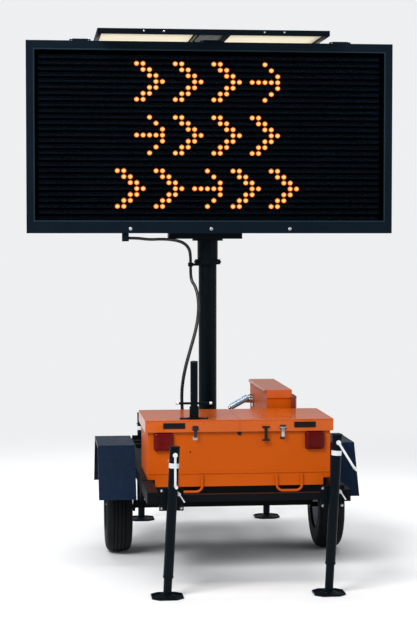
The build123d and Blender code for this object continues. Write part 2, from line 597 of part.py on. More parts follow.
with BuildPart() as cabinet_lid:
    lid_right = CABINET_RIGHT + 4 + SHEET
    block((CABINET_LEFT, lid_right), (CABINET_REAR - 4 - SHEET, CABINET_FRONT + 4 + SHEET),
          (CABINET_TOP, CABINET_TOP + SHEET))
    block((lid_right - SHEET, lid_right), (CABINET_REAR - 4 - SHEET, CABINET_FRONT + 4 + SHEET),
          (CABINET_TOP - CABINET_FLANGE, CABINET_TOP + SHEET))
    for end in (CABINET_REAR - 4 - SHEET, CABINET_FRONT + 4):
        block((CABINET_LEFT, lid_right), (end, end + SHEET),
              (CABINET_TOP - CABINET_FLANGE, CABINET_TOP + SHEET))
    knuckle_y = (CABINET_REAR + 16, CABINET_FRONT - 16)
    rod((CABINET_HINGE[0], knuckle_y[0], CABINET_HINGE[1]),
        (CABINET_HINGE[0], knuckle_y[1], CABINET_HINGE[1]), 7)
    block((CABINET_HINGE[0] - 3, CABINET_LEFT + 2), knuckle_y, (CABINET_TOP, CABINET_TOP + SHEET))
    block((CABINET_HINGE[0] - 5, CABINET_HINGE[0] + 3), knuckle_y,
          (CABINET_HINGE[1] + 4, CABINET_TOP + SHEET))
    rod((CABINET_HINGE[0], knuckle_y[0] - 1, CABINET_HINGE[1]),
        (CABINET_HINGE[0], knuckle_y[1] + 1, CABINET_HINGE[1]), HINGE_ROD + RUNNING, Mode.SUBTRACT)
save(cabinet_lid, "cabinet_lid")

with BuildPart() as control_unit:
    block((CABINET_LEFT + SHEET, CABINET_LEFT + 60), (CABINET_REAR + 520, CABINET_REAR + 800),
          (820, 1080))
save(control_unit, "control_unit")

motor_axis = Vector(*MOTOR_HIGH) - Vector(*MOTOR_LOW)
with BuildPart() as lift_motor:
    rod(MOTOR_LOW, MOTOR_HIGH, MOTOR_RADIUS)
    cap_start = Vector(*MOTOR_LOW) + motor_axis * 0.86
    rod(tuple(cap_start), MOTOR_HIGH, MOTOR_RADIUS + 3)
    block((MOTOR_HIGH[0] - 22, CABINET_LEFT), (MOTOR_HIGH[1] - 6, MOTOR_HIGH[1] + 6),
          (MOTOR_HIGH[2] - 30, MOTOR_HIGH[2] - 4))
    block((CABINET_LEFT - 6, CABINET_LEFT), (MOTOR_HIGH[1] - 40, MOTOR_HIGH[1] + 40),
          (MOTOR_HIGH[2] - 60, MOTOR_HIGH[2] + 20))
save(lift_motor, "lift_motor")

# Mast

with BuildPart() as mast_post:
    rod((0, MAST_Y, DRAWBAR_TOP), (0, MAST_Y, MAST_TOP), MAST_RADIUS)
    rod((0, MAST_Y, DRAWBAR_TOP - 1), (0, MAST_Y, MAST_TOP + 1), MAST_RADIUS - MAST_WALL, Mode.SUBTRACT)
save(mast_post, "mast_post")

with BuildPart() as mast_base:
    block((-BASE_WIDTH / 2, BASE_WIDTH / 2), (MAST_Y - BASE_WIDTH / 2, MAST_Y + BASE_WIDTH / 2),
          (RAIL_TOP, RAIL_TOP + 12))
    for angle in (45, 135, 225, 315):
        ray = Vector(cos(radians(angle)), sin(radians(angle)), 0)
        fin = Plane(origin=(0, MAST_Y, RAIL_TOP + 12), x_dir=ray, z_dir=ray.cross(Vector(0, 0, 1)))
        with BuildSketch(fin.offset(-5)):
            with BuildLine():
                Polyline((MAST_RADIUS - 2, 0), (170, 0), (MAST_RADIUS - 2, 240), close=True)
            make_face()
        extrude(amount=10)
    rod((0, MAST_Y, RAIL_TOP - 1), (0, MAST_Y, RAIL_TOP + 300), MAST_RADIUS + CLEAR, Mode.SUBTRACT)
save(mast_base, "mast_base")

BARREL_TOP = 2300.0
ROD_BOTTOM = 1700.0
with BuildPart() as lift_barrel:
    rod((0, MAST_Y, DRAWBAR_TOP), (0, MAST_Y, BARREL_TOP), BARREL_RADIUS)
    rod((0, MAST_Y, DRAWBAR_TOP + 12), (0, MAST_Y, BARREL_TOP + 1), ROD_RADIUS + RUNNING, Mode.SUBTRACT)
save(lift_barrel, "lift_barrel")

with BuildPart() as lift_rod:
    rod((0, MAST_Y, ROD_BOTTOM), (0, MAST_Y, SLEEVE_TOP - 10), ROD_RADIUS)
save(lift_rod, "lift_rod")

with BuildPart() as mast_sleeve:
    rod((0, MAST_Y, SLEEVE_BOTTOM), (0, MAST_Y, SLEEVE_TOP), SLEEVE_RADIUS)
    rod((0, MAST_Y, SLEEVE_BOTTOM), (0, MAST_Y, SLEEVE_BOTTOM + COLLAR_HEIGHT), COLLAR_RADIUS)
    rod((0, MAST_Y, FLANGE_Z), (0, MAST_Y, FLANGE_Z + FLANGE_THICK), FLANGE_RADIUS)
    for step in range(8):
        angle = radians(22.5 + step * 45)
        out = Vector(cos(angle), sin(angle), 0)
        foot_at = Vector(0, MAST_Y, SLEEVE_BOTTOM + COLLAR_HEIGHT / 2) + out * (COLLAR_RADIUS - 2)
        rod(tuple(foot_at), tuple(foot_at + out * 10), 9)
    block((CLAMP_X - 20, -70), (CLAMP_Y - 6, CLAMP_Y + 6), (CLAMP_LOW + 5, CLAMP_HIGH - 5))
    rod((CLAMP_X, CLAMP_Y, CLAMP_LOW), (CLAMP_X, CLAMP_Y, CLAMP_HIGH), 20)
    rod((0, MAST_Y, SLEEVE_BOTTOM - 1), (0, MAST_Y, SLEEVE_TOP - 10), MAST_RADIUS + RUNNING,
        Mode.SUBTRACT)
save(mast_sleeve, "mast_sleeve")

# Sign head: the bracket turns on the sleeve and rests on its flange

HEAD_BOTTOM = FLANGE_Z + FLANGE_THICK + CLEAR
CHANNEL_HALF = 620.0
with BuildPart() as head_bracket:
    for level in (2480, 2880):
        tube_bar((-CHANNEL_HALF, CHANNEL_HALF), (SIGN_BACK, SIGN_BACK + CHANNEL),
                 (level, level + CHANNEL), CHANNEL_WALL)
    tube_bar((-320, 250), (SIGN_BACK - 90, SIGN_BACK + 40), (HEAD_BOTTOM, SIGN_BOTTOM), CHANNEL_WALL)
    rod((0, MAST_Y, HEAD_BOTTOM), (0, MAST_Y, HEAD_TOP), HEAD_RADIUS)
    for side in (-1, 1):
        block(sorted((side * 78, side * 86)), (SIGN_BACK, MAST_Y + 30), (HEAD_BOTTOM, 2480))
    rod((0, MAST_Y, HEAD_BOTTOM - 1), (0, MAST_Y, HEAD_TOP + 1), SLEEVE_RADIUS + RUNNING, Mode.SUBTRACT)
save(head_bracket, "head_bracket")

# The case carries the rod pieces that the door hangs on, along its top front edge
CASE_FRONT = SIGN_FACE + DOOR_DEPTH + CLEAR
CASE_WALL = 4.0
DOOR_PIVOT = (SIGN_FACE + DOOR_DEPTH / 2, SIGN_TOP + 8)
DOOR_HINGES = (-1000, 0, 1000)
with BuildPart() as sign_case:
    shell((-SIGN_HALF, SIGN_HALF), (CASE_FRONT, SIGN_BACK), (SIGN_BOTTOM, SIGN_TOP - 2), CASE_WALL,
          open_rear=True)
    for middle in DOOR_HINGES:
        rod((middle - 80, *DOOR_PIVOT), (middle + 80, *DOOR_PIVOT), 4)
        for end in (-80, 68):
            block((middle + end, middle + end + 12), (DOOR_PIVOT[0] - 3, CASE_FRONT + 30),
                  (SIGN_TOP + 1.5, SIGN_TOP + 12))
            block((middle + end, middle + end + 12), (CASE_FRONT, CASE_FRONT + 30),
                  (SIGN_TOP - 3, SIGN_TOP + 2))
    block((ENTRY_X - 50, ENTRY_X), (ENTRY_Y - 25, ENTRY_Y + 25), (ENTRY_Z - 25, SIGN_BOTTOM + 1))
save(sign_case, "sign_case")

BOARD_BACK = CASE_FRONT + 60
WINDOW_HALF = SIGN_HALF - BEZEL_SIDE
WINDOW_LOW = SIGN_BOTTOM + BEZEL_BOTTOM
WINDOW_HIGH = SIGN_TOP - BEZEL_TOP
with BuildPart() as display_board:
    block((-SIGN_HALF + CASE_WALL, SIGN_HALF - CASE_WALL), (BOARD_BACK - BOARD_THICK, BOARD_BACK),
          (SIGN_BOTTOM + CASE_WALL, SIGN_TOP - 2 - CASE_WALL))
save(display_board, "display_board")

FIRST_ROW = (SIGN_BOTTOM + SIGN_TOP - (ROWS - 1) * ROW_PITCH) / 2
with BuildPart() as louvre_slats:
    for row in range(ROWS):
        level = FIRST_ROW + row * ROW_PITCH
        block((-SLAT_HALF, SLAT_HALF), (BOARD_BACK - BOARD_THICK - SLAT_DEPTH, BOARD_BACK - BOARD_THICK),
              (level - SLAT_HEIGHT / 2, level + SLAT_HEIGHT / 2))
save(louvre_slats, "louvre_slats")

with BuildPart() as door_frame:
    block((-SIGN_HALF, SIGN_HALF), (SIGN_FACE, SIGN_FACE + DOOR_DEPTH), (SIGN_BOTTOM, SIGN_TOP))
    block((-WINDOW_HALF, WINDOW_HALF), (SIGN_FACE - 1, SIGN_FACE + DOOR_DEPTH + 1),
          (WINDOW_LOW, WINDOW_HIGH), mode=Mode.SUBTRACT)
    for middle in DOOR_HINGES:
        rod((middle - 60, *DOOR_PIVOT), (middle + 60, *DOOR_PIVOT), 8)
        block((middle - 60, middle + 60), (SIGN_FACE + 2, SIGN_FACE + 18), (SIGN_TOP - 1, SIGN_TOP + 6))
        rod((middle - 61, *DOOR_PIVOT), (middle + 61, *DOOR_PIVOT), 4 + RUNNING, Mode.SUBTRACT)
save(door_frame, "door_frame")

with BuildPart() as door_window:
    block((-WINDOW_HALF, WINDOW_HALF), (SIGN_FACE + 12, SIGN_FACE + 12 + WINDOW_THICK),
          (WINDOW_LOW, WINDOW_HIGH))
save(door_window, "door_window")

with BuildPart() as door_latches:
    for middle in (-620, 0, 610):
        rod((middle, SIGN_FACE, SIGN_BOTTOM + 35), (middle, SIGN_FACE - 7, SIGN_BOTTOM + 35), 9)
save(door_latches, "door_latches")

# Solar panel

with BuildPart() as solar_mount:
    block((-MOUNT_HALF, MOUNT_HALF), (SIGN_BACK - 110, SIGN_BACK), (SIGN_TOP - 2, SIGN_TOP + 6))
    for side in (-1, 1):
        inner = side * (MOUNT_HALF - 12)
        outer = side * MOUNT_HALF
        with BuildSketch(Plane.YZ.offset(min(inner, outer))):
            with BuildLine():
                Polyline((SIGN_BACK - 110, SIGN_TOP + 5), (PIVOT_Y - 14, PIVOT_ROD_Z + 12),
                         (PIVOT_Y + 14, PIVOT_ROD_Z + 12), (PIVOT_Y + 14, PIVOT_ROD_Z - 12),
                         (SIGN_BACK, SIGN_TOP - 2), close=True)
            make_face()
        extrude(amount=12)
    rod((-MOUNT_HALF, PIVOT_Y, PIVOT_ROD_Z), (MOUNT_HALF, PIVOT_Y, PIVOT_ROD_Z), PIVOT_ROD)
save(solar_mount, "solar_mount")

PANEL_TOP = PANEL_BOTTOM + PANEL_THICK
PANEL_FRONT = PANEL_REAR + PANEL_DEPTH
FRAME_LIP = 30.0
with BuildPart() as solar_frame:
    block((-PANEL_HALF, PANEL_HALF), (PANEL_REAR, PANEL_FRONT), (PANEL_BOTTOM, PANEL_TOP))
    block((-PANEL_HALF + 2, PANEL_HALF - 2), (PANEL_REAR + 2, PANEL_FRONT - 2),
          (PANEL_BOTTOM + 2, PANEL_TOP - 6), mode=Mode.SUBTRACT)
    block((-PANEL_HALF + FRAME_LIP, PANEL_HALF - FRAME_LIP),
          (PANEL_REAR + FRAME_LIP, PANEL_FRONT - FRAME_LIP),
          (PANEL_BOTTOM - 1, PANEL_BOTTOM + 3), mode=Mode.SUBTRACT)
    block((-PANEL_HALF + 12, PANEL_HALF - 12), (PANEL_REAR + 12, PANEL_FRONT - 12),
          (PANEL_TOP - 7, PANEL_TOP + 1), mode=Mode.SUBTRACT)
    for side in (-1, 1):
        lug_x = sorted((side * 108, side * 124))
        block(lug_x, (PANEL_REAR + 1, PANEL_FRONT - 1), (PANEL_BOTTOM, PANEL_BOTTOM + 24))
        rod((lug_x[0], PIVOT_Y, PIVOT_ROD_Z), (lug_x[1], PIVOT_Y, PIVOT_ROD_Z), 15)
        block(lug_x, (PIVOT_Y - 15, PIVOT_Y + 15), (PIVOT_ROD_Z, PANEL_BOTTOM + 1))
        rod((lug_x[0] - 1, PIVOT_Y, PIVOT_ROD_Z), (lug_x[1] + 1, PIVOT_Y, PIVOT_ROD_Z),
            PIVOT_ROD + RUNNING, Mode.SUBTRACT)
save(solar_frame, "solar_frame")

with BuildPart() as solar_laminate:
    block((-PANEL_HALF + 12, PANEL_HALF - 12), (PANEL_REAR + 12, PANEL_FRONT - 12),
          (PANEL_TOP - 6, PANEL_TOP - 1))
save(solar_laminate, "solar_laminate")

# Conduit: straight runs joined by arcs as large as the runs allow


def cord(name, points, radius):
    """A round cord through hand-chosen points, with an arc at each corner."""
    path = [Vector(*point) for point in points]
    radii = []
    for before, here, after in zip(path, path[1:], path[2:]):
        run_in = here - before
        run_out = after - here
        turn = radians(run_in.get_angle(run_out))
        radii.append(0.45 * min(run_in.length, run_out.length) / tan(turn / 2))
    with BuildPart() as tube:
        with BuildLine() as line:
            FilletPolyline(*path, radius=radii)
        with BuildSketch(Plane(origin=path[0], z_dir=path[1] - path[0])):
            Circle(radius)
        sweep(path=line.wires()[0])
    expected = pi * radius**2 * line.wires()[0].length
    print(name, "radii", [round(r) for r in radii], "volume ratio",
          round(tube.part.volume / expected, 4), "length", round(line.wires()[0].length))
    save(tube, name)


REAR_Y = REAR_JACK_Y
LOWER_ROUTE = [(GLAND_X, GLAND_END, GLAND_Z), (GLAND_X, REAR_Y + 1350, GLAND_Z),
               (-299, REAR_Y + 1430, 955), (-306, REAR_Y + 1462, 1060), (-302, REAR_Y + 1510, 1180),
               (-272, REAR_Y + 1590, 1310), (-222, REAR_Y + 1710, 1440), (-165, REAR_Y + 1850, 1580),
               (-128, REAR_Y + 2010, 1710), (-116, REAR_Y + 2190, 1820), (-122, REAR_Y + 2370, 1890),
               (-133, REAR_Y + 2485, 1915), (CLAMP_X, CLAMP_Y, 1965), (CLAMP_X, CLAMP_Y, CLAMP_LOW)]
UPPER_ROUTE = [(CLAMP_X, CLAMP_Y, CLAMP_HIGH), (CLAMP_X, CLAMP_Y, 2125), (-157, MAST_Y - 105, 2180),
               (-205, MAST_Y - 170, 2222), (-280, MAST_Y - 212, 2242), (-375, MAST_Y - 220, 2249),
               (-475, MAST_Y - 214, 2244), (-560, ENTRY_Y, ENTRY_Z), (ENTRY_X, ENTRY_Y, ENTRY_Z)]
cord("conduit_lower", LOWER_ROUTE, CONDUIT_RADIUS)
cord("conduit_upper", UPPER_ROUTE, CONDUIT_RADIUS)
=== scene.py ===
import math

import bpy
import numpy as np
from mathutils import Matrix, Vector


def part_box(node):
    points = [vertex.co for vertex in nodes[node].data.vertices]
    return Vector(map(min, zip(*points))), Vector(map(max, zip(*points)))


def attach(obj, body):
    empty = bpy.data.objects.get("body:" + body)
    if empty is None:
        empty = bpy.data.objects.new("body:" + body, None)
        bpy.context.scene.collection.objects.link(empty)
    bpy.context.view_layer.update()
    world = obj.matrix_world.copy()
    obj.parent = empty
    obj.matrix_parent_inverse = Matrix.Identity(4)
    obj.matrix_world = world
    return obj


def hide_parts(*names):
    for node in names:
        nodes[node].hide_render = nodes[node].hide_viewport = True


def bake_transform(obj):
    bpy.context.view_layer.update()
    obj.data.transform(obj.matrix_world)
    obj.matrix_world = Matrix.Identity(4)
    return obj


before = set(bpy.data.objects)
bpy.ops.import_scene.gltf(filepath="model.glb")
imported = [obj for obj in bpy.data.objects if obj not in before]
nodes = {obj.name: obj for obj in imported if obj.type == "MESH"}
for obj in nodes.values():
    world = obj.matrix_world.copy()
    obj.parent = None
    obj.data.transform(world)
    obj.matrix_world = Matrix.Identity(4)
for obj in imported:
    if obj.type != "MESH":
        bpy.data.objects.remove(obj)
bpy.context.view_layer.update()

# Camera: a long lens at a person's eye height on a kerb, a little left of the trailer's tail.
# It looks slightly to the right and slightly down, with the horizon level.
YAW, PITCH_DOWN = math.radians(6.07), math.radians(2.67)
camera = bpy.data.objects.new("camera", bpy.data.cameras.new("camera"))
camera.data.lens = 94.8
camera.data.sensor_width = 36
camera.data.clip_end = 200
camera.location = (-1.355, -12.31, 2.28)
camera.rotation_euler = (math.pi / 2 - PITCH_DOWN, 0, -YAW)
bpy.context.scene.collection.objects.link(camera)
bpy.context.scene.camera = camera

# Studio: a plain pale floor that fades into a pale surround, one broad soft key high on the
# left and a weaker fill on the right, so that paint and lamps keep their own colours.
SURROUND_COLOUR, SURROUND_GLOW = (0.93, 0.94, 0.95, 1), 0.92
floor_half = 80.0
floor_mesh = bpy.data.meshes.new("studio_floor")
floor_mesh.from_pydata([(-floor_half, -floor_half, 0), (floor_half, -floor_half, 0),
                        (floor_half, floor_half, 0), (-floor_half, floor_half, 0)], [], [(0, 1, 2, 3)])
floor = bpy.data.objects.new("studio_floor", floor_mesh)
bpy.context.scene.collection.objects.link(floor)
floor_paint = bpy.data.materials.new("pale_floor")
floor_paint.use_nodes = True
tree = floor_paint.node_tree
make, link = tree.nodes.new, tree.links.new
near_floor = tree.nodes["Principled BSDF"]
near_floor.inputs["Base Color"].default_value = (0.86, 0.86, 0.86, 1)
near_floor.inputs["Roughness"].default_value = 0.9
far_floor = make("ShaderNodeEmission")
far_floor.inputs["Color"].default_value = SURROUND_COLOUR
far_floor.inputs["Strength"].default_value = SURROUND_GLOW
from_middle = make("ShaderNodeVectorMath")
from_middle.operation = "LENGTH"
link(make("ShaderNodeTexCoord").outputs["Object"], from_middle.inputs[0])
fade = make("ShaderNodeMapRange")
fade.interpolation_type = "SMOOTHSTEP"
fade.inputs["From Min"].default_value = 2.4
fade.inputs["From Max"].default_value = 7.5
link(from_middle.outputs["Value"], fade.inputs["Value"])
blended = make("ShaderNodeMixShader")
link(fade.outputs["Result"], blended.inputs["Fac"])
link(near_floor.outputs["BSDF"], blended.inputs[1])
link(far_floor.outputs["Emission"], blended.inputs[2])
link(blended.outputs["Shader"], tree.nodes["Material Output"].inputs["Surface"])
floor_mesh.materials.append(floor_paint)

surround = bpy.data.worlds.new("studio_surround")
surround.use_nodes = True
sky = surround.node_tree.nodes["Background"]
sky.inputs["Color"].default_value = (0.90, 0.95, 1, 1)
sky.inputs["Strength"].default_value = 0.34
backdrop = surround.node_tree.nodes.new("ShaderNodeBackground")
backdrop.inputs["Color"].default_value = SURROUND_COLOUR
backdrop.inputs["Strength"].default_value = SURROUND_GLOW
seen = surround.node_tree.nodes.new("ShaderNodeLightPath")
either = surround.node_tree.nodes.new("ShaderNodeMixShader")
surround.node_tree.links.new(seen.outputs["Is Camera Ray"], either.inputs["Fac"])
surround.node_tree.links.new(sky.outputs["Background"], either.inputs[1])
surround.node_tree.links.new(backdrop.outputs["Background"], either.inputs[2])
surround.node_tree.links.new(either.outputs["Shader"],
                             surround.node_tree.nodes["World Output"].inputs["Surface"])
bpy.context.scene.world = surround
bpy.context.scene.view_settings.view_transform = "Standard"
for name, place, turn, size, power in (("key", (-5.0, -7.0, 8.0), (46, 0, -35), 4.0, 900),
                                       ("fill", (6.5, -5.0, 4.5), (60, 0, 50), 5.0, 160),
                                       ("top", (0.0, 3.0, 9.0), (-16, 0, 0), 7.0, 700)):
    lamp = bpy.data.lights.new(name, "AREA")
    lamp.size, lamp.energy = size, power
    holder = bpy.data.objects.new(name, lamp)
    holder.location = place
    holder.rotation_euler = [math.radians(a) for a in turn]
    bpy.context.scene.collection.objects.link(holder)

# Chassis: rails, cross members and drawbar are welded black steel tube, brush-painted and
# dusty from the road. The axle, hangers and jack plates carry the same paint.


def finish(name, colour, rough, metal=0.0, coat=0.0, grain=900.0, bump=0.02, mottle=0.12,
           dust_and_sky_sheen=0.0, dust_and_sky_sheen_colour=(0.36, 0.30, 0.24), rust=0.0, gloss=0.5):
    """A sprayed or moulded finish. The colour drifts by a slow noise, roughness by a finer one, and the skin
    has an orange-peel bump. A patchy layer of the dust colour goes where the surface faces up, and low down
    where the wheels throw it. In grey-brown it is road dust; where it is a paler tint of the paint itself, it
    is a painted sky sheen on the upward faces. Rust comes as small spots where a noise peaks."""
    material = bpy.data.materials.new(name)
    material.use_nodes = True
    tree = material.node_tree
    make, link = tree.nodes.new, tree.links.new
    shader = tree.nodes["Principled BSDF"]
    place = make("ShaderNodeTexCoord").outputs["Object"]

    slow = make("ShaderNodeTexNoise")
    slow.inputs["Scale"].default_value = 3.0
    slow.inputs["Detail"].default_value = 6.0
    link(place, slow.inputs["Vector"])
    drift = make("ShaderNodeValToRGB")
    drift.color_ramp.elements[0].position = 0.3
    drift.color_ramp.elements[1].position = 0.7
    drift.color_ramp.elements[0].color = (*[c * (1 - mottle) for c in colour], 1)
    drift.color_ramp.elements[1].color = (*[min(1, c * (1 + mottle)) for c in colour], 1)
    link(slow.outputs["Fac"], drift.inputs["Fac"])
    colour_out = drift.outputs["Color"]

    fine = make("ShaderNodeTexNoise")
    fine.inputs["Scale"].default_value = 28.0
    fine.inputs["Detail"].default_value = 8.0
    fine.inputs["Roughness"].default_value = 0.65
    link(place, fine.inputs["Vector"])

    if rust:
        spots = make("ShaderNodeMapRange")
        spots.inputs["From Min"].default_value = 0.66
        spots.inputs["From Max"].default_value = 0.72
        spots.inputs["To Max"].default_value = rust
        link(fine.outputs["Fac"], spots.inputs["Value"])
        rusty = make("ShaderNodeMix")
        rusty.data_type = "RGBA"
        link(spots.outputs["Result"], rusty.inputs["Factor"])
        link(colour_out, rusty.inputs["A"])
        rusty.inputs["B"].default_value = (0.12, 0.045, 0.018, 1)
        colour_out = rusty.outputs["Result"]

    # The layer is road dust where its colour is grey-brown, and a painted sky sheen where it is a paler tint
    # of the paint.
    if dust_and_sky_sheen:
        facing = make("ShaderNodeNewGeometry").outputs["Normal"]
        split = make("ShaderNodeSeparateXYZ")
        link(facing, split.inputs["Vector"])
        upward = make("ShaderNodeMapRange")
        upward.inputs["From Min"].default_value = 0.2
        upward.inputs["To Max"].default_value = 0.9
        link(split.outputs["Z"], upward.inputs["Value"])
        level = make("ShaderNodeSeparateXYZ")
        link(place, level.inputs["Vector"])
        low = make("ShaderNodeMapRange")
        low.inputs["From Min"].default_value = 0.75
        low.inputs["From Max"].default_value = 0.05
        low.inputs["To Max"].default_value = 0.8
        link(level.outputs["Z"], low.inputs["Value"])
        both = make("ShaderNodeMath")
        both.operation = "MAXIMUM"
        link(upward.outputs["Result"], both.inputs[0])
        link(low.outputs["Result"], both.inputs[1])
        patchy = make("ShaderNodeMapRange")
        patchy.inputs["From Min"].default_value = 0.35
        patchy.inputs["From Max"].default_value = 0.75
        patchy.inputs["To Max"].default_value = dust_and_sky_sheen
        link(fine.outputs["Fac"], patchy.inputs["Value"])
        amount = make("ShaderNodeMath")
        amount.operation = "MULTIPLY"
        link(both.outputs[0], amount.inputs[0])
        link(patchy.outputs["Result"], amount.inputs[1])
        dust_and_sky_sheen_layer = make("ShaderNodeMix")
        dust_and_sky_sheen_layer.data_type = "RGBA"
        link(amount.outputs[0], dust_and_sky_sheen_layer.inputs["Factor"])
        link(colour_out, dust_and_sky_sheen_layer.inputs["A"])
        dust_and_sky_sheen_layer.inputs["B"].default_value = (*dust_and_sky_sheen_colour, 1)
        colour_out = dust_and_sky_sheen_layer.outputs["Result"]
    link(colour_out, shader.inputs["Base Color"])

    sheen = make("ShaderNodeMapRange")
    sheen.inputs["From Min"].default_value = 0.3
    sheen.inputs["From Max"].default_value = 0.7
    sheen.inputs["To Min"].default_value = max(0.02, rough - 0.07)
    sheen.inputs["To Max"].default_value = rough + 0.12
    link(fine.outputs["Fac"], sheen.inputs["Value"])
    link(sheen.outputs["Result"], shader.inputs["Roughness"])

    peel = make("ShaderNodeTexNoise")
    peel.inputs["Scale"].default_value = grain
    peel.inputs["Detail"].default_value = 2.0
    link(place, peel.inputs["Vector"])
    skin = make("ShaderNodeBump")
    skin.inputs["Strength"].default_value = bump * 10
    skin.inputs["Distance"].default_value = 0.0006
    link(peel.outputs["Fac"], skin.inputs["Height"])
    link(skin.outputs["Normal"], shader.inputs["Normal"])
    shader.inputs["Metallic"].default_value = metal
    shader.inputs["Specular IOR Level"].default_value = gloss
    shader.inputs["Coat Weight"].default_value = coat
    shader.inputs["Coat Roughness"].default_value = 0.08
    return material


def paint(material, *names):
    """Gives CAD nodes a finish in place of their plain one."""
    for name in names:
        for spot in nodes[name].material_slots:
            spot.material = material


chassis_black = finish("chassis_black", (0.0030, 0.0042, 0.0055), 0.45, grain=500, bump=0.03, dust_and_sky_sheen=0.018,
                       rust=0.2, gloss=0.05)
paint(chassis_black, "chassis_rails", "cross_members", "drawbar", "deck_plate", "axle_beam",
      "axle_hangers", "jack_plates")
cast_zinc = finish("cast_zinc", (0.46, 0.47, 0.48), 0.38, metal=0.85, grain=300, bump=0.05, dust_and_sky_sheen=0.3)
paint(cast_zinc, "coupler_body", "coupler_latch")

# Mast, sleeve and turning head: drawn steel tube under a satin black powder coat that goes
# blue-green where the sky catches it. The parts inside are bare or primed.
powder_black = finish("powder_black", (0.0008, 0.0032, 0.0056), 0.34, coat=0.02, grain=1100, bump=0.01,
                      dust_and_sky_sheen=0.004, gloss=0.06)
paint(powder_black, "mast_post", "mast_base", "mast_sleeve", "head_bracket", "lid_post")
rod_chrome = finish("rod_chrome", (0.72, 0.73, 0.74), 0.12, metal=1.0, grain=600, bump=0.01)
paint(rod_chrome, "lift_rod")
paint(chassis_black, "lift_barrel")

# Mudguards: bent sheet in satin navy, with a light blue layer where the sheet faces up and low down: a
# painted sky sheen along the top.
guard_navy = finish("guard_navy", (0.0008, 0.0095, 0.0300), 0.36, coat=0.02, grain=900, bump=0.01,
                    dust_and_sky_sheen=0.03, dust_and_sky_sheen_colour=(0.10, 0.24, 0.42), mottle=0.08, gloss=0.10)
paint(guard_navy, "fender_left", "fender_right")

# Battery box, lids, apron and cabinet: folded sheet steel in gloss safety orange. The lids are glossier and
# show the sky, and a pale orange laid on their upward faces is a painted sky sheen. The body is dusty near
# the frame.
safety_orange = finish("safety_orange", (0.525, 0.082, 0.0012), 0.40, coat=0.02, grain=700, bump=0.012,
                       mottle=0.04, dust_and_sky_sheen=0.05, dust_and_sky_sheen_colour=(0.50, 0.20, 0.06), gloss=0.10)
# Lids: the pale orange layer on the upward faces is a painted sky sheen.
lid_orange = finish("lid_orange", (0.56, 0.092, 0.0016), 0.20, coat=0.35, grain=500, bump=0.002,
                    mottle=0.05, dust_and_sky_sheen=0.10, dust_and_sky_sheen_colour=(0.72, 0.38, 0.20), gloss=0.20)
paint(safety_orange, "battery_box", "box_apron", "tie_down_hoops", "cabinet_body")
paint(lid_orange, "battery_lid_left", "battery_lid_right", "cabinet_lid")
battery_black = finish("battery_black", (0.02, 0.02, 0.024), 0.5, grain=250, bump=0.06)
control_grey = finish("control_grey", (0.35, 0.36, 0.36), 0.45, grain=600, bump=0.05)
paint(battery_black, "batteries")
paint(control_grey, "control_unit")

# Rivets and bolt heads: zinc-plated steel, in rows along the flanges. Each head is a low
# dome on a short washer, a curve turned about the way it points.


def grid_faces(rows, columns, wrap=False):
    """Quads between the points of a grid, row by row; wrap joins the last column to the
    first."""
    across = columns if wrap else columns - 1
    r, c = np.meshgrid(np.arange(rows - 1), np.arange(across), indexing="ij")
    n = (c + 1) % columns
    return np.stack([r * columns + c, r * columns + n, (r + 1) * columns + n,
                     (r + 1) * columns + c], axis=-1).reshape(-1, 4)


def turned(outline, base, way, steps=12):
    """A curve of (distance along, radius) pairs turned about the line from base along way:
    point = base + way * distance + (side * cos t + other * sin t) * radius. Ends whose
    radius isn't 0 get a cap."""
    outline = np.array(outline, dtype=float)
    way = np.array(way, dtype=float) / np.linalg.norm(way)
    side = np.cross(way, (0.0, 0.0, 1.0) if abs(way[2]) < 0.9 else (1.0, 0.0, 0.0))
    side /= np.linalg.norm(side)
    other = np.cross(way, side)
    angle = np.arange(steps) * 2 * np.pi / steps
    ring = np.cos(angle)[:, None] * side + np.sin(angle)[:, None] * other
    points = (np.array(base) + outline[:, 0, None, None] * way + outline[:, 1, None, None] * ring)
    faces = grid_faces(len(outline), steps, wrap=True)[:, ::-1].tolist()
    if outline[0, 1] > 1e-6:
        faces.append(list(range(steps)))
    if outline[-1, 1] > 1e-6:
        faces.append(list(range(len(outline) * steps - 1, (len(outline) - 1) * steps - 1, -1)))
    return points.reshape(-1, 3), faces


def carried(outline, path, up=(0.0, 0.0, 1.0), caps=True):
    """A flat closed outline carried along a path. Each ring lies square to the path, with
    its second coordinate as near to up as that allows."""
    outline = np.array(outline, dtype=float)
    path = np.array(path, dtype=float)
    way = np.gradient(path, axis=0)
    way /= np.linalg.norm(way, axis=1)[:, None]
    side = np.cross(way, np.array(up))
    side /= np.linalg.norm(side, axis=1)[:, None]
    lift = np.cross(side, way)
    points = (path[:, None] + outline[None, :, 0, None] * side[:, None]
              + outline[None, :, 1, None] * lift[:, None])
    count = len(outline)
    faces = grid_faces(len(path), count, wrap=True).tolist()
    if caps:
        faces.append(list(range(count - 1, -1, -1)))
        faces.append(list(range((len(path) - 1) * count, len(path) * count)))
    return points.reshape(-1, 3), faces


def rounded(width, height, corner, steps=4):
    """A rectangle's outline with quarter-circle corners, anticlockwise: each corner point is
    the corner's centre plus the radius turned through a quarter turn."""
    turn = np.linspace(0, np.pi / 2, steps)
    parts = []
    for quarter, (sx, sy) in enumerate(((1, 1), (-1, 1), (-1, -1), (1, -1))):
        centre = np.array([sx * (width / 2 - corner), sy * (height / 2 - corner)])
        angle = turn + quarter * np.pi / 2
        parts.append(centre + corner * np.stack([np.cos(angle), np.sin(angle)], axis=1))
    return np.concatenate(parts)


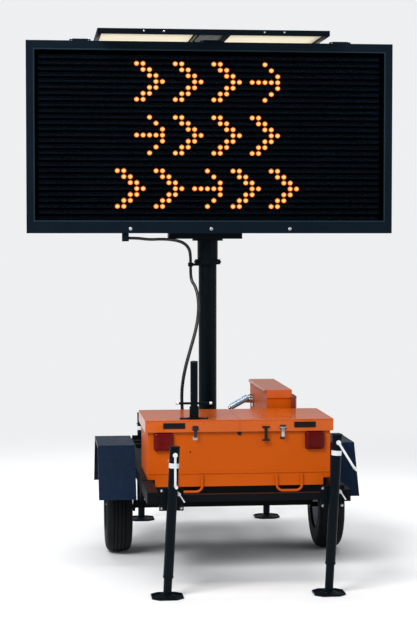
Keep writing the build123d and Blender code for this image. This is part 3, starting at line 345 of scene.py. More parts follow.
def piece(name, shapes, body, material, smooth=30, replaced=()):
    """One object from several (points, faces) shapes, with its finish and its body."""
    points, faces, start = [], [], 0
    for shape_points, shape_faces in shapes:
        points.append(np.asarray(shape_points, dtype=float))
        faces.extend([[int(i) + start for i in face] for face in shape_faces])
        start += len(shape_points)
    mesh = bpy.data.meshes.new(name)
    mesh.from_pydata(np.concatenate(points).tolist(), [], faces)
    mesh.update()
    mesh.materials.append(material)
    mesh.shade_smooth()
    thing = bpy.data.objects.new(name, mesh)
    bpy.context.scene.collection.objects.link(thing)
    mesh.set_sharp_from_angle(angle=math.radians(smooth))
    if replaced:
        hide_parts(*replaced)
    if body:
        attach(thing, body)
    return thing


def bolt(base, way, radius=0.007, height=0.004):
    """A domed head: the radius falls off as a quarter circle over the head's height."""
    turn = np.linspace(0, np.pi / 2, 4)
    dome = [(height * (0.35 + 0.65 * math.sin(t)), radius * math.cos(t)) for t in turn[:-1]]
    return turned([(0, radius * 1.3), (height * 0.3, radius * 1.25)] + dome + [(height, 0.0002)],
                  base, way, steps=10)


bright_zinc = finish("bright_zinc", (0.50, 0.51, 0.53), 0.24, metal=1.0, grain=400, bump=0.03, mottle=0.25)
dark_steel = finish("dark_steel", (0.030, 0.034, 0.040), 0.36, metal=0.8, grain=400, bump=0.03, mottle=0.3)
white_zinc = finish("white_zinc", (0.80, 0.81, 0.82), 0.34, metal=0.35, grain=400, bump=0.03)

box_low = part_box("battery_box")[0]
lid_low, lid_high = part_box("battery_lid_left")
lid_face = lid_low[1]
lid_top = lid_high[2]
box_face = box_low[1]
right_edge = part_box("battery_lid_right")[1][0]
for side, body in ((-1, "lid_left"), (1, "lid_right")):
    rivets = [bolt((side * x, lid_face, lid_top - 0.016), (0, -1, 0), 0.0035, 0.002)
              for x in (0.03, 0.18, 0.24, 0.37, 0.50, 0.61)]
    piece(f"lid_rivets_{body}", rivets, body, safety_orange)
apron_rivets = [bolt((x, box_face - 0.003, 0.676), (0, -1, 0), 0.004, 0.0025)
                for x in np.linspace(-0.53, 0.53, 8)]
piece("apron_rivets", apron_rivets, "root", safety_orange)

# Drip edge: the lids' sheet is folded with a rounded bead round its top edge, and the box
# has a stiffening bead pressed along its foot.
bead = rounded(0.007, 0.007, 0.0034, 3)
for side, body in ((-1, "lid_left"), (1, "lid_right")):
    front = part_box("battery_lid_left")[1][1] - 0.04
    run = [(side * 0.0015, lid_face + 0.0005, lid_top - 0.0025),
           (side * (right_edge - 0.004), lid_face + 0.0005, lid_top - 0.0025)]
    long_run = [(side * (right_edge - 0.0005), lid_face + 0.002, lid_top - 0.0025),
                (side * (right_edge - 0.0005), front, lid_top - 0.0025)]
    piece(f"lid_bead_{body}", [carried(bead, run), carried(bead, long_run)], body, lid_orange)
foot_bead = rounded(0.006, 0.012, 0.0028, 3)
piece("box_foot_bead", [carried(foot_bead, [(-0.608, box_face - 0.001, 0.70),
                                            (0.608, box_face - 0.001, 0.70)])],
      "root", safety_orange)

# Lid vents: black moulded louvre plates let gas out of the battery bay. Each is a framed
# panel with a row of sloping blades, riveted over a slot in the flange.
vent_black = finish("vent_black", (0.0035, 0.0045, 0.0060), 0.5, grain=500, bump=0.04, gloss=0.25)
VENT_X, VENT_WIDTH, VENT_HEIGHT = 0.438, 0.146, 0.038
vent_z = lid_top - 0.037
for side, body in ((-1, "lid_left"), (1, "lid_right")):
    middle = side * VENT_X
    shapes = [carried(rounded(VENT_WIDTH, VENT_HEIGHT, 0.004),
                      [(middle, lid_face - 0.0005, vent_z), (middle, lid_face - 0.003, vent_z)])]
    for level in np.linspace(-0.012, 0.012, 4):
        blade = [(0, 0), (0.0045, -0.0035), (0.0045, -0.0015), (0, 0.0022)]
        shapes.append(carried(blade, [(middle + VENT_WIDTH / 2 - 0.008, lid_face - 0.003, vent_z + level),
                                      (middle - VENT_WIDTH / 2 + 0.008, lid_face - 0.003, vent_z + level)]))
    piece(f"vent_{body}", shapes, body, vent_black)

# Centre lock and the plunger that the two lids share: a black keeper plate low on the seam
# with a round escutcheon.
lock_z = 0.962
piece("centre_lock", [turned([(0, 0.014), (0.003, 0.0145), (0.007, 0.012), (0.008, 0.0075),
                              (0.0075, 0.0002)], (0, box_face, lock_z), (0, -1, 0), 24),
                      carried(rounded(0.006, 0.028, 0.0028, 3),
                              [(0, box_face, lock_z + 0.002), (0, box_face - 0.010, lock_z + 0.002)])],
      "root", vent_black)
piece("box_plug", [turned([(0, 0.006), (0.002, 0.0055), (0.003, 0.0002)],
                          (-0.330, box_face, 0.840), (0, -1, 0), 14)],
      "root", vent_black)

# Toggle hasps: a pressed steel lever over a wire loop that hooks on a strike riveted to the
# box. The lever swings out about its top pin.
for name, body, steel, backing in (("hasp_left", "lid_left", dark_steel, bright_zinc),
                                   ("hasp_right", "lid_right", bright_zinc, dark_steel)):
    low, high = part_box(name)
    middle = (low[0] + high[0]) / 2
    base_y = lid_face
    plate = carried(rounded(0.040, 0.030, 0.004), [(middle, base_y, high[2] - 0.004),
                                                   (middle, base_y - 0.0022, high[2] - 0.004)])
    ears = [carried(rounded(0.003, 0.014, 0.001, 2),
                    [(middle + s * 0.0185, base_y, high[2] - 0.006),
                     (middle + s * 0.0185, base_y - 0.0105, high[2] - 0.006)]) for s in (-1, 1)]
    heads = [bolt((middle + s * 0.013, base_y - 0.0022, high[2] + 0.004), (0, -1, 0), 0.003, 0.002)
             for s in (-1, 1)]
    piece(f"{name}_base", [plate, *ears, *heads],
          body, dark_steel)
    turn = np.linspace(0, 2 * np.pi, 25)
    length, spread = 0.032, 0.009
    loop = np.stack([middle + spread * np.sin(turn), np.full(25, low[1] - 0.0015),
                     low[2] + 0.006 + length * (0.5 - 0.5 * np.cos(turn)) * 0.9], axis=1)
    lever_path = [(middle, low[1] + 0.001, high[2] - 0.006), (middle, low[1] - 0.003, high[2] - 0.020),
                  (middle, low[1] - 0.004, low[2] + 0.024), (middle, low[1] - 0.001, low[2] + 0.004)]
    knuckle = turned([(0, 0.0055), (0.001, 0.006), (0.033, 0.006), (0.034, 0.0055)],
                     (low[0], high[1] - 0.0055, high[2] - 0.0055), (1, 0, 0), 14)
    lever = carried(rounded(0.020, 0.0022, 0.001, 2), lever_path, up=(0, -1, 0))
    wire = carried(rounded(0.003, 0.003, 0.0014, 3), loop, up=(0, -1, 0), caps=False)
    piece(f"{name}_lever", [knuckle, lever], name, steel, replaced=(name,))
    piece(f"{name}_loop", [wire], name, bright_zinc)
    strike = carried([(0.009, 0), (0.011, 0.010), (0.006, 0.012), (-0.006, 0.012), (-0.011, 0.010),
                      (-0.009, 0)],
                     [(middle, box_face, low[2] + 0.002), (middle, box_face, low[2] - 0.001)],
                     up=(0, -1, 0))
    strike_plate = carried(rounded(0.030, 0.022, 0.003), [(middle, box_face, low[2] - 0.004),
                                                          (middle, box_face - 0.002, low[2] - 0.004)])
    piece(f"{name}_strike", [strike, strike_plate],
          "root", backing)

# Rubber draw latch: a moulded T-strap pulled down from the lid over a keeper on the box,
# with a round grip bar at each end.
low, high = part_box("rubber_latch")
middle = (low[0] + high[0]) / 2
strap_y = low[1] + 0.006
strap = [(middle, strap_y, high[2] - 0.004), (middle, strap_y - 0.001, high[2] - 0.05),
         (middle, strap_y, low[2] + 0.006)]
grip = [(0, 0.004), (0.002, 0.0062), (0.012, 0.0068), (0.026, 0.006), (0.040, 0.0068),
        (0.050, 0.0062), (0.052, 0.004)]
bars = [turned(grip, (low[0], strap_y, z), (1, 0, 0), 14) for z in (low[2] + 0.008, high[2] - 0.008)]
keeper = carried(rounded(0.030, 0.006, 0.002, 3), [(middle, strap_y, low[2] + 0.008),
                                                   (middle, high[1], low[2] + 0.008)])
moulded_rubber = finish("moulded_rubber", (0.0050, 0.0050, 0.0056), 0.6, grain=350, bump=0.06, gloss=0.25)
piece("rubber_strap", [carried(rounded(0.020, 0.006, 0.0028, 3), strap, up=(0, -1, 0)), *bars, keeper],
      "lid_right", moulded_rubber, replaced=("rubber_latch",))

# Tail lights: square sealed lamps with a moulded red lens. The lens has prism ribs behind
# a clear dome and sits in a black rim.
lens_red = finish("lens_red", (0.105, 0.0016, 0.0012), 0.24, coat=0.05, grain=160, bump=0.06,
                  mottle=0.3, gloss=0.12)
low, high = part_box("tail_lights")
LAMP_X, LAMP_W, LAMP_H = 0.507, 0.130, high[2] - low[2]
lamp_z = (low[2] + high[2]) / 2
for side, name in ((-1, "left"), (1, "right")):
    middle = side * LAMP_X
    back_y = high[1]
    depths = [(0.0, 1.0), (0.010, 1.0), (0.013, 0.985), (0.020, 0.955), (0.0235, 0.90), (0.0255, 0.80),
              (0.026, 0.5)]
    outline = rounded(LAMP_W, LAMP_H, 0.018, 6)
    rings = np.stack([np.stack([middle + outline[:, 0] * s, np.full(len(outline), back_y - d),
                                lamp_z + outline[:, 1] * s], axis=1) for d, s in depths])
    count = len(outline)
    faces = grid_faces(len(depths), count, wrap=True)[:, ::-1].tolist()
    faces.append(list(range(len(depths) * count - 1, (len(depths) - 1) * count - 1, -1)))
    ribs = [carried(rounded(0.003, 0.0016, 0.0007, 2), [(middle + x, back_y - 0.0258, lamp_z - 0.036),
                                                        (middle + x, back_y - 0.0258, lamp_z + 0.036)],
                    up=(0, -1, 0)) for x in np.linspace(-0.040, 0.040, 9)]
    rim_path = [(0.0, 1.012), (0.006, 1.012)]
    rim_rings = np.stack([np.stack([middle + outline[:, 0] * s, np.full(count, back_y - d),
                                    lamp_z + outline[:, 1] * s], axis=1) for d, s in rim_path])
    piece(f"tail_lens_{name}", [(rings.reshape(-1, 3), faces), *ribs], "root", lens_red,
          replaced=("tail_lights",) if side < 0 else ())
    rim_faces = grid_faces(2, count, wrap=True)[:, ::-1].tolist()
    rim_faces.append(list(range(2 * count - 1, count - 1, -1)))
    piece(f"tail_gasket_{name}", [(rim_rings.reshape(-1, 3), rim_faces)],
          "root", moulded_rubber)

# Lid post: a black tube on a flanged foot bolted through the lid, with a cross bar that
# turns round its neck. The bar's ends are bare bright metal.
low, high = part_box("lid_post")
post_x = (low[0] + high[0]) / 2
post_y = (low[1] + high[1]) / 2
bolts = [bolt((post_x + s * 0.080, post_y, lid_top + 0.006), (0, 0, 1), 0.009, 0.008) for s in (-1, 1)]
bar_low, bar_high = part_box("clamp_bar")
bar_z = (bar_low[2] + bar_high[2]) / 2
bar_half = (bar_high[0] - bar_low[0]) / 2
sleeve_rise = bar_z - 0.021 - (lid_top + 0.004)
post_sleeve = turned([(0, 0.036), (0.004, 0.036), (0.008, 0.031), (sleeve_rise - 0.002, 0.031),
                      (sleeve_rise, 0.029), (sleeve_rise, 0.0262)],
                     (post_x, post_y, lid_top + 0.004), (0, 0, 1), 28)
cap = turned([(0, 0.0255), (0.006, 0.0258), (0.010, 0.022), (0.012, 0.012), (0.0125, 0.0002)],
             (post_x, post_y, high[2] - 0.004), (0, 0, 1), 20)
piece("lid_post_bolts", bolts, "lid_left", dark_steel)
piece("lid_post_sleeve", [post_sleeve], "lid_left", powder_black)
piece("lid_post_cap", [cap], "lid_left", moulded_rubber)
paint(powder_black, "clamp_bar")
tips = [turned([(0, 0.0083), (0.004, 0.0090), (0.015, 0.0090), (0.020, 0.006), (0.021, 0.0002)],
               (post_x + s * (bar_half - 0.019), post_y, bar_z), (s, 0, 0), 16) for s in (-1, 1)]
piece("clamp_bar_tips", tips, "clamp_bar", white_zinc)

# Control cabinet: on its right side hangs a dark red switch box, a pressed steel shell with
# an overlapping cover and a plain pin hinge beside it.
low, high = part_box("cabinet_body")
cab_left, cab_right = high[0] - 0.173, high[0]
rear = low[1]
switch_red = finish("switch_red", (0.16, 0.016, 0.006), 0.35, coat=0.3, grain=500, bump=0.03, dust_and_sky_sheen=0.1)
cover_y = rear + 0.10
side_box = carried(rounded(0.24, 0.150, 0.006), [(cab_right, cover_y, 1.060),
                                                 (cab_right + 0.036, cover_y, 1.060)])
side_lid = carried(rounded(0.248, 0.158, 0.008), [(cab_right + 0.030, cover_y, 1.060),
                                                  (cab_right + 0.038, cover_y, 1.060)])
piece("switch_box", [side_box, side_lid], "root", switch_red)
hinge = turned([(0, 0.004), (0.130, 0.004)], (cab_right + 0.034, cover_y - 0.126, 0.995), (0, 0, 1), 10)
piece("switch_box_hinge", [hinge], "root", bright_zinc)

# Lift motor: a grey-blue ram body with pressed end caps and cooling ribs, strapped to the
# cabinet's side. Two short rubber leads run from its upper cap into the cabinet.
motor_grey = finish("motor_grey", (0.30, 0.42, 0.52), 0.3, metal=0.35, coat=0.3, grain=500,
                    bump=0.03, mottle=0.2)
low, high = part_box("lift_motor")
motor_y = (low[1] + high[1]) / 2
start = np.array([0.110, motor_y, 0.986])
stop = np.array([0.243, motor_y, 1.060])
along = stop - start
reach = float(np.linalg.norm(along))
barrel = [(0, 0.013), (0.001, 0.019), (0.004, 0.0225), (0.016, 0.0225)]
for rib in np.linspace(0.022, 0.090, 8):
    barrel += [(rib, 0.0225), (rib + 0.001, 0.0245), (rib + 0.004, 0.0245), (rib + 0.005, 0.0225)]
barrel += [(0.108, 0.0225), (0.109, 0.026), (reach - 0.006, 0.026), (reach - 0.001, 0.022), (reach, 0.012)]
piece("motor_body", [turned(barrel, start, along, 28)], "root", motor_grey,
      replaced=("lift_motor",))
strap_at = start + along * 0.80
arm_face = cab_left
bracket = carried(rounded(0.012, 0.026, 0.002, 2), [tuple(strap_at + np.array([0.010, 0, -0.012])),
                                                    (arm_face, motor_y, 1.030)])
pad = carried(rounded(0.080, 0.080, 0.004), [(arm_face - 0.006, motor_y, 1.030),
                                             (arm_face, motor_y, 1.030)])
tail = turned([(0, 0.011), (0.004, 0.013), (0.016, 0.013), (0.020, 0.009)],
              start - along / reach * 0.018, along, 18)
piece("motor_bracket", [bracket, pad, tail], "root", bright_zinc)
for index, rise in enumerate((0.010, -0.008)):
    lead_from = stop + np.array([0.0, 0.0, rise])
    bow = np.linspace(0, 1, 12)
    lead = np.stack([lead_from[0] + bow * (arm_face + 0.002 - lead_from[0]),
                     np.full(12, motor_y), lead_from[2] + 0.012 * np.sin(bow * np.pi * 0.9)
                     - 0.006 * bow], axis=1)
    piece(f"motor_lead_{index}", [carried(rounded(0.008, 0.008, 0.0038, 4), lead)], "root", moulded_rubber)

# Jacks: tube with a zinc crank, a blank bright band, a grease nipple and a pull pin on the
# swivel plate. The leg ends in a dished foot with a turned-up rim.
jack_black = finish("jack_black", (0.0010, 0.0042, 0.0072), 0.34, coat=0.02, grain=900, bump=0.01,
                    dust_and_sky_sheen=0.006, gloss=0.06)
band_silver = finish("band_silver", (0.72, 0.78, 0.80), 0.35, metal=0.3, grain=700, bump=0.01)


def hoop(outline, base, way, steps=36):
    """A closed outline turned about a line, so that it makes a ring with an open bore: the
    outline's last point joins its first, and neither end is capped."""
    points, faces = turned(list(outline) + [outline[0]], base, way, steps)
    kept = len(outline) * steps
    around = [[i % kept for i in face] for face in faces if len(face) == 4]
    return points[:kept], around


SWIVEL_Z, REAR_LEAN = 0.612, math.tan(math.radians(3.0))
SWIVEL_X = {"rear_left": -0.499, "rear_right": 0.532, "front_left": -0.507, "front_right": 0.507}
for corner in ("rear_left", "rear_right", "front_left", "front_right"):
    side = -1 if corner.endswith("left") else 1
    back = -1 if corner.startswith("rear") else 1
    tube, leg, crank = (f"jack_{kind}_{corner}" for kind in ("tube", "leg", "crank"))
    paint(jack_black, tube)
    paint(white_zinc, crank)
    low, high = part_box(leg)
    lean = REAR_LEAN if back < 0 else 0.0
    swivel_x, y = SWIVEL_X[corner], (low[1] + high[1]) / 2
    x = swivel_x - lean * SWIVEL_Z
    upward = (lean, 0, 1)
    tube_low, tube_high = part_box(tube)
    top = tube_high[2]

    # Foot: rings of an octagon with cut corners, dished up to a boss round the leg
    half, cut = 0.100, 0.045
    octagon = np.array([(half, half - cut), (half - cut, half), (cut - half, half), (-half, half - cut),
                        (-half, cut - half), (cut - half, -half), (half - cut, -half), (half, cut - half)])
    rise = [(0.0, 0.98), (0.004, 1.0), (0.014, 0.995), (0.0145, 0.965), (0.0065, 0.945), (0.006, 0.60),
            (0.010, 0.46), (0.016, 0.37)]
    rings = np.stack([np.column_stack([x + octagon[:, 0] * s, y + octagon[:, 1] * s, np.full(8, z)])
                      for z, s in rise])
    faces = grid_faces(len(rise), 8, wrap=True).tolist()
    faces.append(list(range(7, -1, -1)))
    faces.append(list(range((len(rise) - 1) * 8, len(rise) * 8)))
    leg_top = high[2]
    column = turned([(0, 0.036), (0.008, 0.038), (0.010, 0.030), (0.011, 0.0268),
                     (leg_top - 0.012, 0.0268)],
                    (x + lean * 0.010, y, 0.010), upward, 28)
    piece(f"{leg}_foot", [(rings.reshape(-1, 3), faces), column], leg, jack_black,
          replaced=(leg,))

    # Band, top cap seam, and rings where the tube is swaged
    band = hoop([(0, 0.0316), (0.0006, 0.0323), (0.031, 0.0323), (0.0316, 0.0316)],
                (x + lean * (top - 0.138), y, top - 0.138), upward)
    piece(f"{tube}_band", [band], tube, band_silver)
    seam = hoop([(0, 0.0316), (0.0015, 0.0335), (0.010, 0.0335), (0.0115, 0.0316)],
                (x + lean * (top - 0.014), y, top - 0.014), upward)
    foot_ring = hoop([(0, 0.0316), (0.0015, 0.0338), (0.012, 0.0338), (0.0135, 0.0316)],
                     (x + lean * (tube_low[2] + 0.004), y, tube_low[2] + 0.004), upward)
    nipple = turned([(0, 0.005), (0.004, 0.005), (0.005, 0.003), (0.011, 0.0035), (0.012, 0.0002)],
                    (x + lean * (top - 0.090) + side * 0.031, y, top - 0.090), (side, 0, 0), 10)
    piece(f"{tube}_rings", [seam, foot_ring], tube, jack_black)
    piece(f"{tube}_nipple", [nipple], tube, bright_zinc)

    # Pull pin: a plunger housing on the plate with a slanting lever
    plate_y = y - back * 0.052
    pin_x, pin_z = swivel_x + 0.047, SWIVEL_Z + 0.033
    housing = turned([(0, 0.011), (0.020, 0.011), (0.022, 0.009), (0.028, 0.009), (0.029, 0.0002)],
                     (pin_x, plate_y, pin_z), (0, back, 0), 16)
    lever = carried(rounded(0.009, 0.009, 0.004, 3),
                    [(pin_x - 0.012, plate_y + back * 0.024, pin_z + 0.020),
                     (pin_x + 0.010, plate_y + back * 0.028, pin_z - 0.012),
                     (pin_x + 0.034, plate_y + back * 0.030, pin_z - 0.050)],
                    up=(0, back, 0))
    piece(f"{tube}_pull_pin", [housing, lever], tube, white_zinc)
    ring_bolts = [bolt((swivel_x + dx, plate_y, SWIVEL_Z + dz), (0, back, 0), 0.007, 0.006)
                  for dx, dz in ((-0.062, -0.056), (0.062, -0.056), (-0.062, 0.056))]
    piece(f"{tube}_plate_bolts", ring_bolts, "root", bright_zinc)

# Tyres: black trailer rubber with four circumferential ribs. The radius is the crown's
# curve less groove notches, and the shoulder carries lugs cut by a cosine round the wheel.
tread_rubber = finish("tread_rubber", (0.0024, 0.0036, 0.0052), 0.66, grain=420, bump=0.08, dust_and_sky_sheen=0.10,
                      dust_and_sky_sheen_colour=(0.05, 0.048, 0.045), gloss=0.14)
# Wheel paint: silver, made paler and bluer than the real paint so that the shaded inner rim shows pale
# blue-grey. It is partly real colour and partly a painted highlight.
wheel_silver_and_highlight = finish("wheel_silver_and_highlight", (0.56, 0.64, 0.72), 0.34, metal=0.15, coat=0.2, grain=400, bump=0.03,
                      dust_and_sky_sheen=0.25, dust_and_sky_sheen_colour=(0.30, 0.32, 0.34))
for side, name in ((-1, "left"), (1, "right")):
    low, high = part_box(f"tyre_{name}")
    hub = np.array([0.0, (low[1] + high[1]) / 2, (low[2] + high[2]) / 2])
    inner, outer = (high[0], low[0]) if side < 0 else (low[0], high[0])
    radius, width = (high[2] - low[2]) / 2, abs(outer - inner)
    around = np.linspace(0, 2 * np.pi, 193)[:-1]
    across = np.linspace(0, 1, 65)
    share = across * 2 - 1
    crown = np.where(np.abs(share) < 0.74, radius - 0.010 * np.abs(share / 0.74) ** 2.4, 0)
    fall = np.clip((np.abs(share) - 0.74) / 0.26, 0, 1)
    wall = (radius - 0.010) - (radius - 0.010 - 0.171) * (1 - np.sqrt(np.clip(1 - fall ** 2, 0, 1))) ** 0.78
    profile = np.where(np.abs(share) < 0.74, crown, wall)
    bulge = np.sign(share) * (0.681 + 0.319 * np.sin(fall * np.pi / 2 * 1.35))
    spread = np.where(np.abs(share) < 0.74, share * 0.92, bulge)
    groove = np.zeros_like(across)
    for centre in (-0.46, -0.16, 0.16, 0.46):
        groove += 0.0065 * np.exp(-((share - centre) / 0.028) ** 4)
    lugs = np.cos(around * 64) > 0.35
    edge = (np.abs(share) > 0.58) & (np.abs(share) < 0.80)
    depth = profile[None, :] - groove[None, :] - 0.004 * (lugs[:, None] & edge[None, :])
    px = (inner + outer) / 2 + side * spread[None, :] * width / 2
    py = hub[1] + depth * np.cos(around)[:, None]
    pz = hub[2] + depth * np.sin(around)[:, None]
    px = np.broadcast_to(px, py.shape)
    points = np.stack([px, py, pz], axis=-1).transpose(1, 0, 2).reshape(-1, 3)
    faces = grid_faces(66, 192, wrap=True) % (65 * 192)
    faces = faces if side > 0 else faces[:, ::-1]
    piece(f"tread_{name}", [(points, faces[:, ::-1].tolist())], f"wheel_{name}", tread_rubber,
          smooth=45, replaced=(f"tyre_{name}",))
    bead_outline = [(0, 0.1705), (0.002, 0.176), (0.008, 0.179), (0.016, 0.176), (0.018, 0.1705)]
    bead_ring = hoop(bead_outline, (inner + side * 0.014, hub[1], hub[2]), (side, 0, 0), 64)
    bead_ring_out = hoop(bead_outline, (outer - side * 0.032, hub[1], hub[2]), (side, 0, 0), 64)
    piece(f"bead_{name}", [bead_ring, bead_ring_out], f"wheel_{name}", tread_rubber)

    # Pressed wheel: drop-centre barrel, dished disc, five studs and a grease cap
    section = [(0.020, 0.176), (0.022, 0.171), (0.034, 0.1675), (0.060, 0.1665), (0.068, 0.150),
               (0.100, 0.150), (0.108, 0.1665), (0.150, 0.1675), (0.162, 0.171), (0.165, 0.176),
               (0.162, 0.1715), (0.148, 0.164), (0.106, 0.163), (0.098, 0.147), (0.070, 0.147),
               (0.060, 0.163), (0.036, 0.164), (0.023, 0.168)]
    barrel = hoop(section, (inner, hub[1], hub[2]), (side, 0, 0), 64)
    disc = hoop([(0.118, 0.149), (0.128, 0.140), (0.140, 0.120), (0.144, 0.105), (0.130, 0.090),
                 (0.124, 0.060), (0.126, 0.040), (0.122, 0.034), (0.118, 0.040), (0.116, 0.060),
                 (0.122, 0.088), (0.136, 0.104), (0.132, 0.118), (0.120, 0.138), (0.112, 0.149)],
                (inner, hub[1], hub[2]), (side, 0, 0), 64)
    drum = turned([(0.040, 0.020), (0.041, 0.050), (0.046, 0.056), (0.110, 0.056), (0.116, 0.050),
                   (0.150, 0.034), (0.162, 0.033), (0.168, 0.028), (0.170, 0.0002)],
                  (inner, hub[1], hub[2]), (side, 0, 0), 40)
    studs = [turned([(0, 0.011), (0.012, 0.011), (0.014, 0.008), (0.022, 0.006), (0.023, 0.0002)],
                    (inner + side * 0.124, hub[1] + 0.057 * math.cos(a), hub[2] + 0.057 * math.sin(a)),
                    (side, 0, 0), 6) for a in np.arange(5) * 2 * np.pi / 5]
    valve = turned([(0, 0.004), (0.028, 0.003), (0.030, 0.0002)],
                   (inner + side * 0.146, hub[1] + 0.155, hub[2]), (side, 0, 0), 8)
    piece(f"wheel_rim_{name}", [barrel, disc], f"wheel_{name}", wheel_silver_and_highlight,
          replaced=(f"rim_{name}",))
    piece(f"wheel_studs_{name}", [*studs, valve], f"wheel_{name}", bright_zinc)
    piece(f"wheel_hub_{name}", [drum], f"wheel_{name}", chassis_black)

# Sign case and door: folded aluminium with a black-navy powder coat. A thin glazing bead holds the window in
# the door frame, which closes on three quarter-turn screws. The bead is a lighter blue than the frame: a
# painted highlight for the bright line round the opening.
sign_navy = finish("sign_navy", (0.0012, 0.0062, 0.0130), 0.4, grain=800, bump=0.01,
                   mottle=0.12, gloss=0.08)
paint(sign_navy, "sign_case", "door_frame")
paint(bright_zinc, "door_latches")
low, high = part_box("door_window")
win_left, win_right, win_low, win_high = low[0], high[0], low[2], high[2]
sign_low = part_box("door_frame")[0]
face = sign_low[1]
# Glazing bead colour: lighter than the frame, a painted highlight along the window's edge.
bead_highlight_paint = finish("bead_painted_highlight", (0.0100, 0.0240, 0.0360), 0.35, grain=900, bump=0.01, gloss=0.1)
GLAZING_BEAD = rounded(0.011, 0.006, 0.002, 3)
edge_left, edge_right = win_left + 0.0065, win_right - 0.0065
edge_low, edge_high = win_low + 0.0065, win_high - 0.0065
beads = [carried(GLAZING_BEAD, [(x0, face + 0.0045, z0), (x1, face + 0.0045, z1)], up=(0, -1, 0))
         for x0, z0, x1, z1 in ((edge_left - 0.006, edge_low, edge_right + 0.006, edge_low),
                                (edge_left - 0.006, edge_high, edge_right + 0.006, edge_high),
                                (edge_left, edge_low + 0.006, edge_left, edge_high - 0.006),
                                (edge_right, edge_low + 0.006, edge_right, edge_high - 0.006))]
piece("window_beads", beads, "sign_door", bead_highlight_paint)
screws = []
for x in (-0.620, 0.0, 0.610):
    screws.append(turned([(0, 0.013), (0.0015, 0.013), (0.002, 0.010), (0.0085, 0.0095), (0.0095, 0.007),
                          (0.0085, 0.0002)], (x, face, sign_low[2] + 0.035), (0, -1, 0), 20))
piece("quarter_turn_screws", screws, "sign_door", bright_zinc, replaced=("door_latches",))

# Display: a black board with a moulded black visor over each row of lamps. Every visor is a
# shelf that slopes out over its row, with a flat band behind the lamps.
band_black = finish("band_black", (0.0012, 0.0034, 0.0072), 0.6, grain=900, bump=0.004,
                    mottle=0.15, gloss=0.03)
gap_black = finish("gap_black", (0.0003, 0.0005, 0.0009), 0.8, grain=900, bump=0.004, gloss=0.01)
paint(gap_black, "display_board")
low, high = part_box("louvre_slats")
ROWS, COLUMNS = 28, 50
ROW_PITCH, COLUMN_PITCH = 0.0454, 0.0495
slat_front, slat_back = low[1], high[1]
first_row = low[2] + 0.0135
slats = []
for row in range(ROWS):
    z = first_row + row * ROW_PITCH
    profile_points = [(slat_back, z - 0.0135), (slat_front + 0.006, z - 0.0135),
                      (slat_front + 0.003, z - 0.0115), (slat_front + 0.003, z + 0.0105),
                      (slat_front - 0.012, z + 0.0125), (slat_front - 0.012, z + 0.0140),
                      (slat_back, z + 0.0140)]
    count = len(profile_points)
    ends = np.array([[(x, b, c) for b, c in profile_points] for x in (low[0], high[0])]).reshape(-1, 3)
    slats.append((ends, grid_faces(2, count, wrap=True)[:, ::-1].tolist()
                  + [list(range(count)), list(range(2 * count - 1, count - 1, -1))]))
piece("lamp_visors", slats, "sign_head", band_black, smooth=25, replaced=("louvre_slats",))

# Lamps: amber lamp clusters, one to each place in the matrix. Three rows of generic arrows
# are lit; the others are dark lenses. A lens is a low dome on a short barrel.
unlit_lens = finish("unlit_lens", (0.0012, 0.0024, 0.0040), 0.4, grain=600, bump=0.004, gloss=0.05)
lit_lens = bpy.data.materials.new("lit_lens")
lit_lens.use_nodes = True
tree = lit_lens.node_tree
make, link = tree.nodes.new, tree.links.new
shader = tree.nodes["Principled BSDF"]
reach_across = make("ShaderNodeAttribute")
reach_across.attribute_name = "reach"
glow = make("ShaderNodeValToRGB")
ramp = glow.color_ramp
ramp.elements[0].position, ramp.elements[0].color = 0.0, (1.0, 0.72, 0.30, 1)
ramp.elements[1].position, ramp.elements[1].color = 1.0, (0.30, 0.02, 0.0, 1)
middle_stop = ramp.elements.new(0.55)
middle_stop.color = (1.0, 0.50, 0.13, 1)
edge_stop = ramp.elements.new(0.82)
edge_stop.color = (0.95, 0.20, 0.02, 1)
link(reach_across.outputs["Fac"], glow.inputs["Fac"])
link(glow.outputs["Color"], shader.inputs["Emission Color"])
shader.inputs["Emission Strength"].default_value = 1.15
shader.inputs["Base Color"].default_value = (0.35, 0.10, 0.01, 1)
shader.inputs["Roughness"].default_value = 0.4

ARROWS = {
    "right": ("..X..", "...X.", "....X", "XXXXX", "....X", "...X.", "..X.."),
    "chevron": ("XX...", ".XX..", "..XX.", "...XX", "..XX.", ".XX..", "XX..."),
}
LINES = ((1, 13, ("chevron", "chevron", "chevron", "right")),
         (10, 13, ("right", "chevron", "chevron", "chevron")),
         (19, 10, ("chevron", "chevron", "right", "chevron", "chevron")))
lit = np.zeros((ROWS, COLUMNS), dtype=bool)
for top_row, first_column, glyphs in LINES:
    for place, glyph in enumerate(glyphs):
        for line, cells in enumerate(ARROWS[glyph]):
            for cell, mark in enumerate(cells):
                lit[top_row + line, first_column + place * 6 + cell] |= mark == "X"


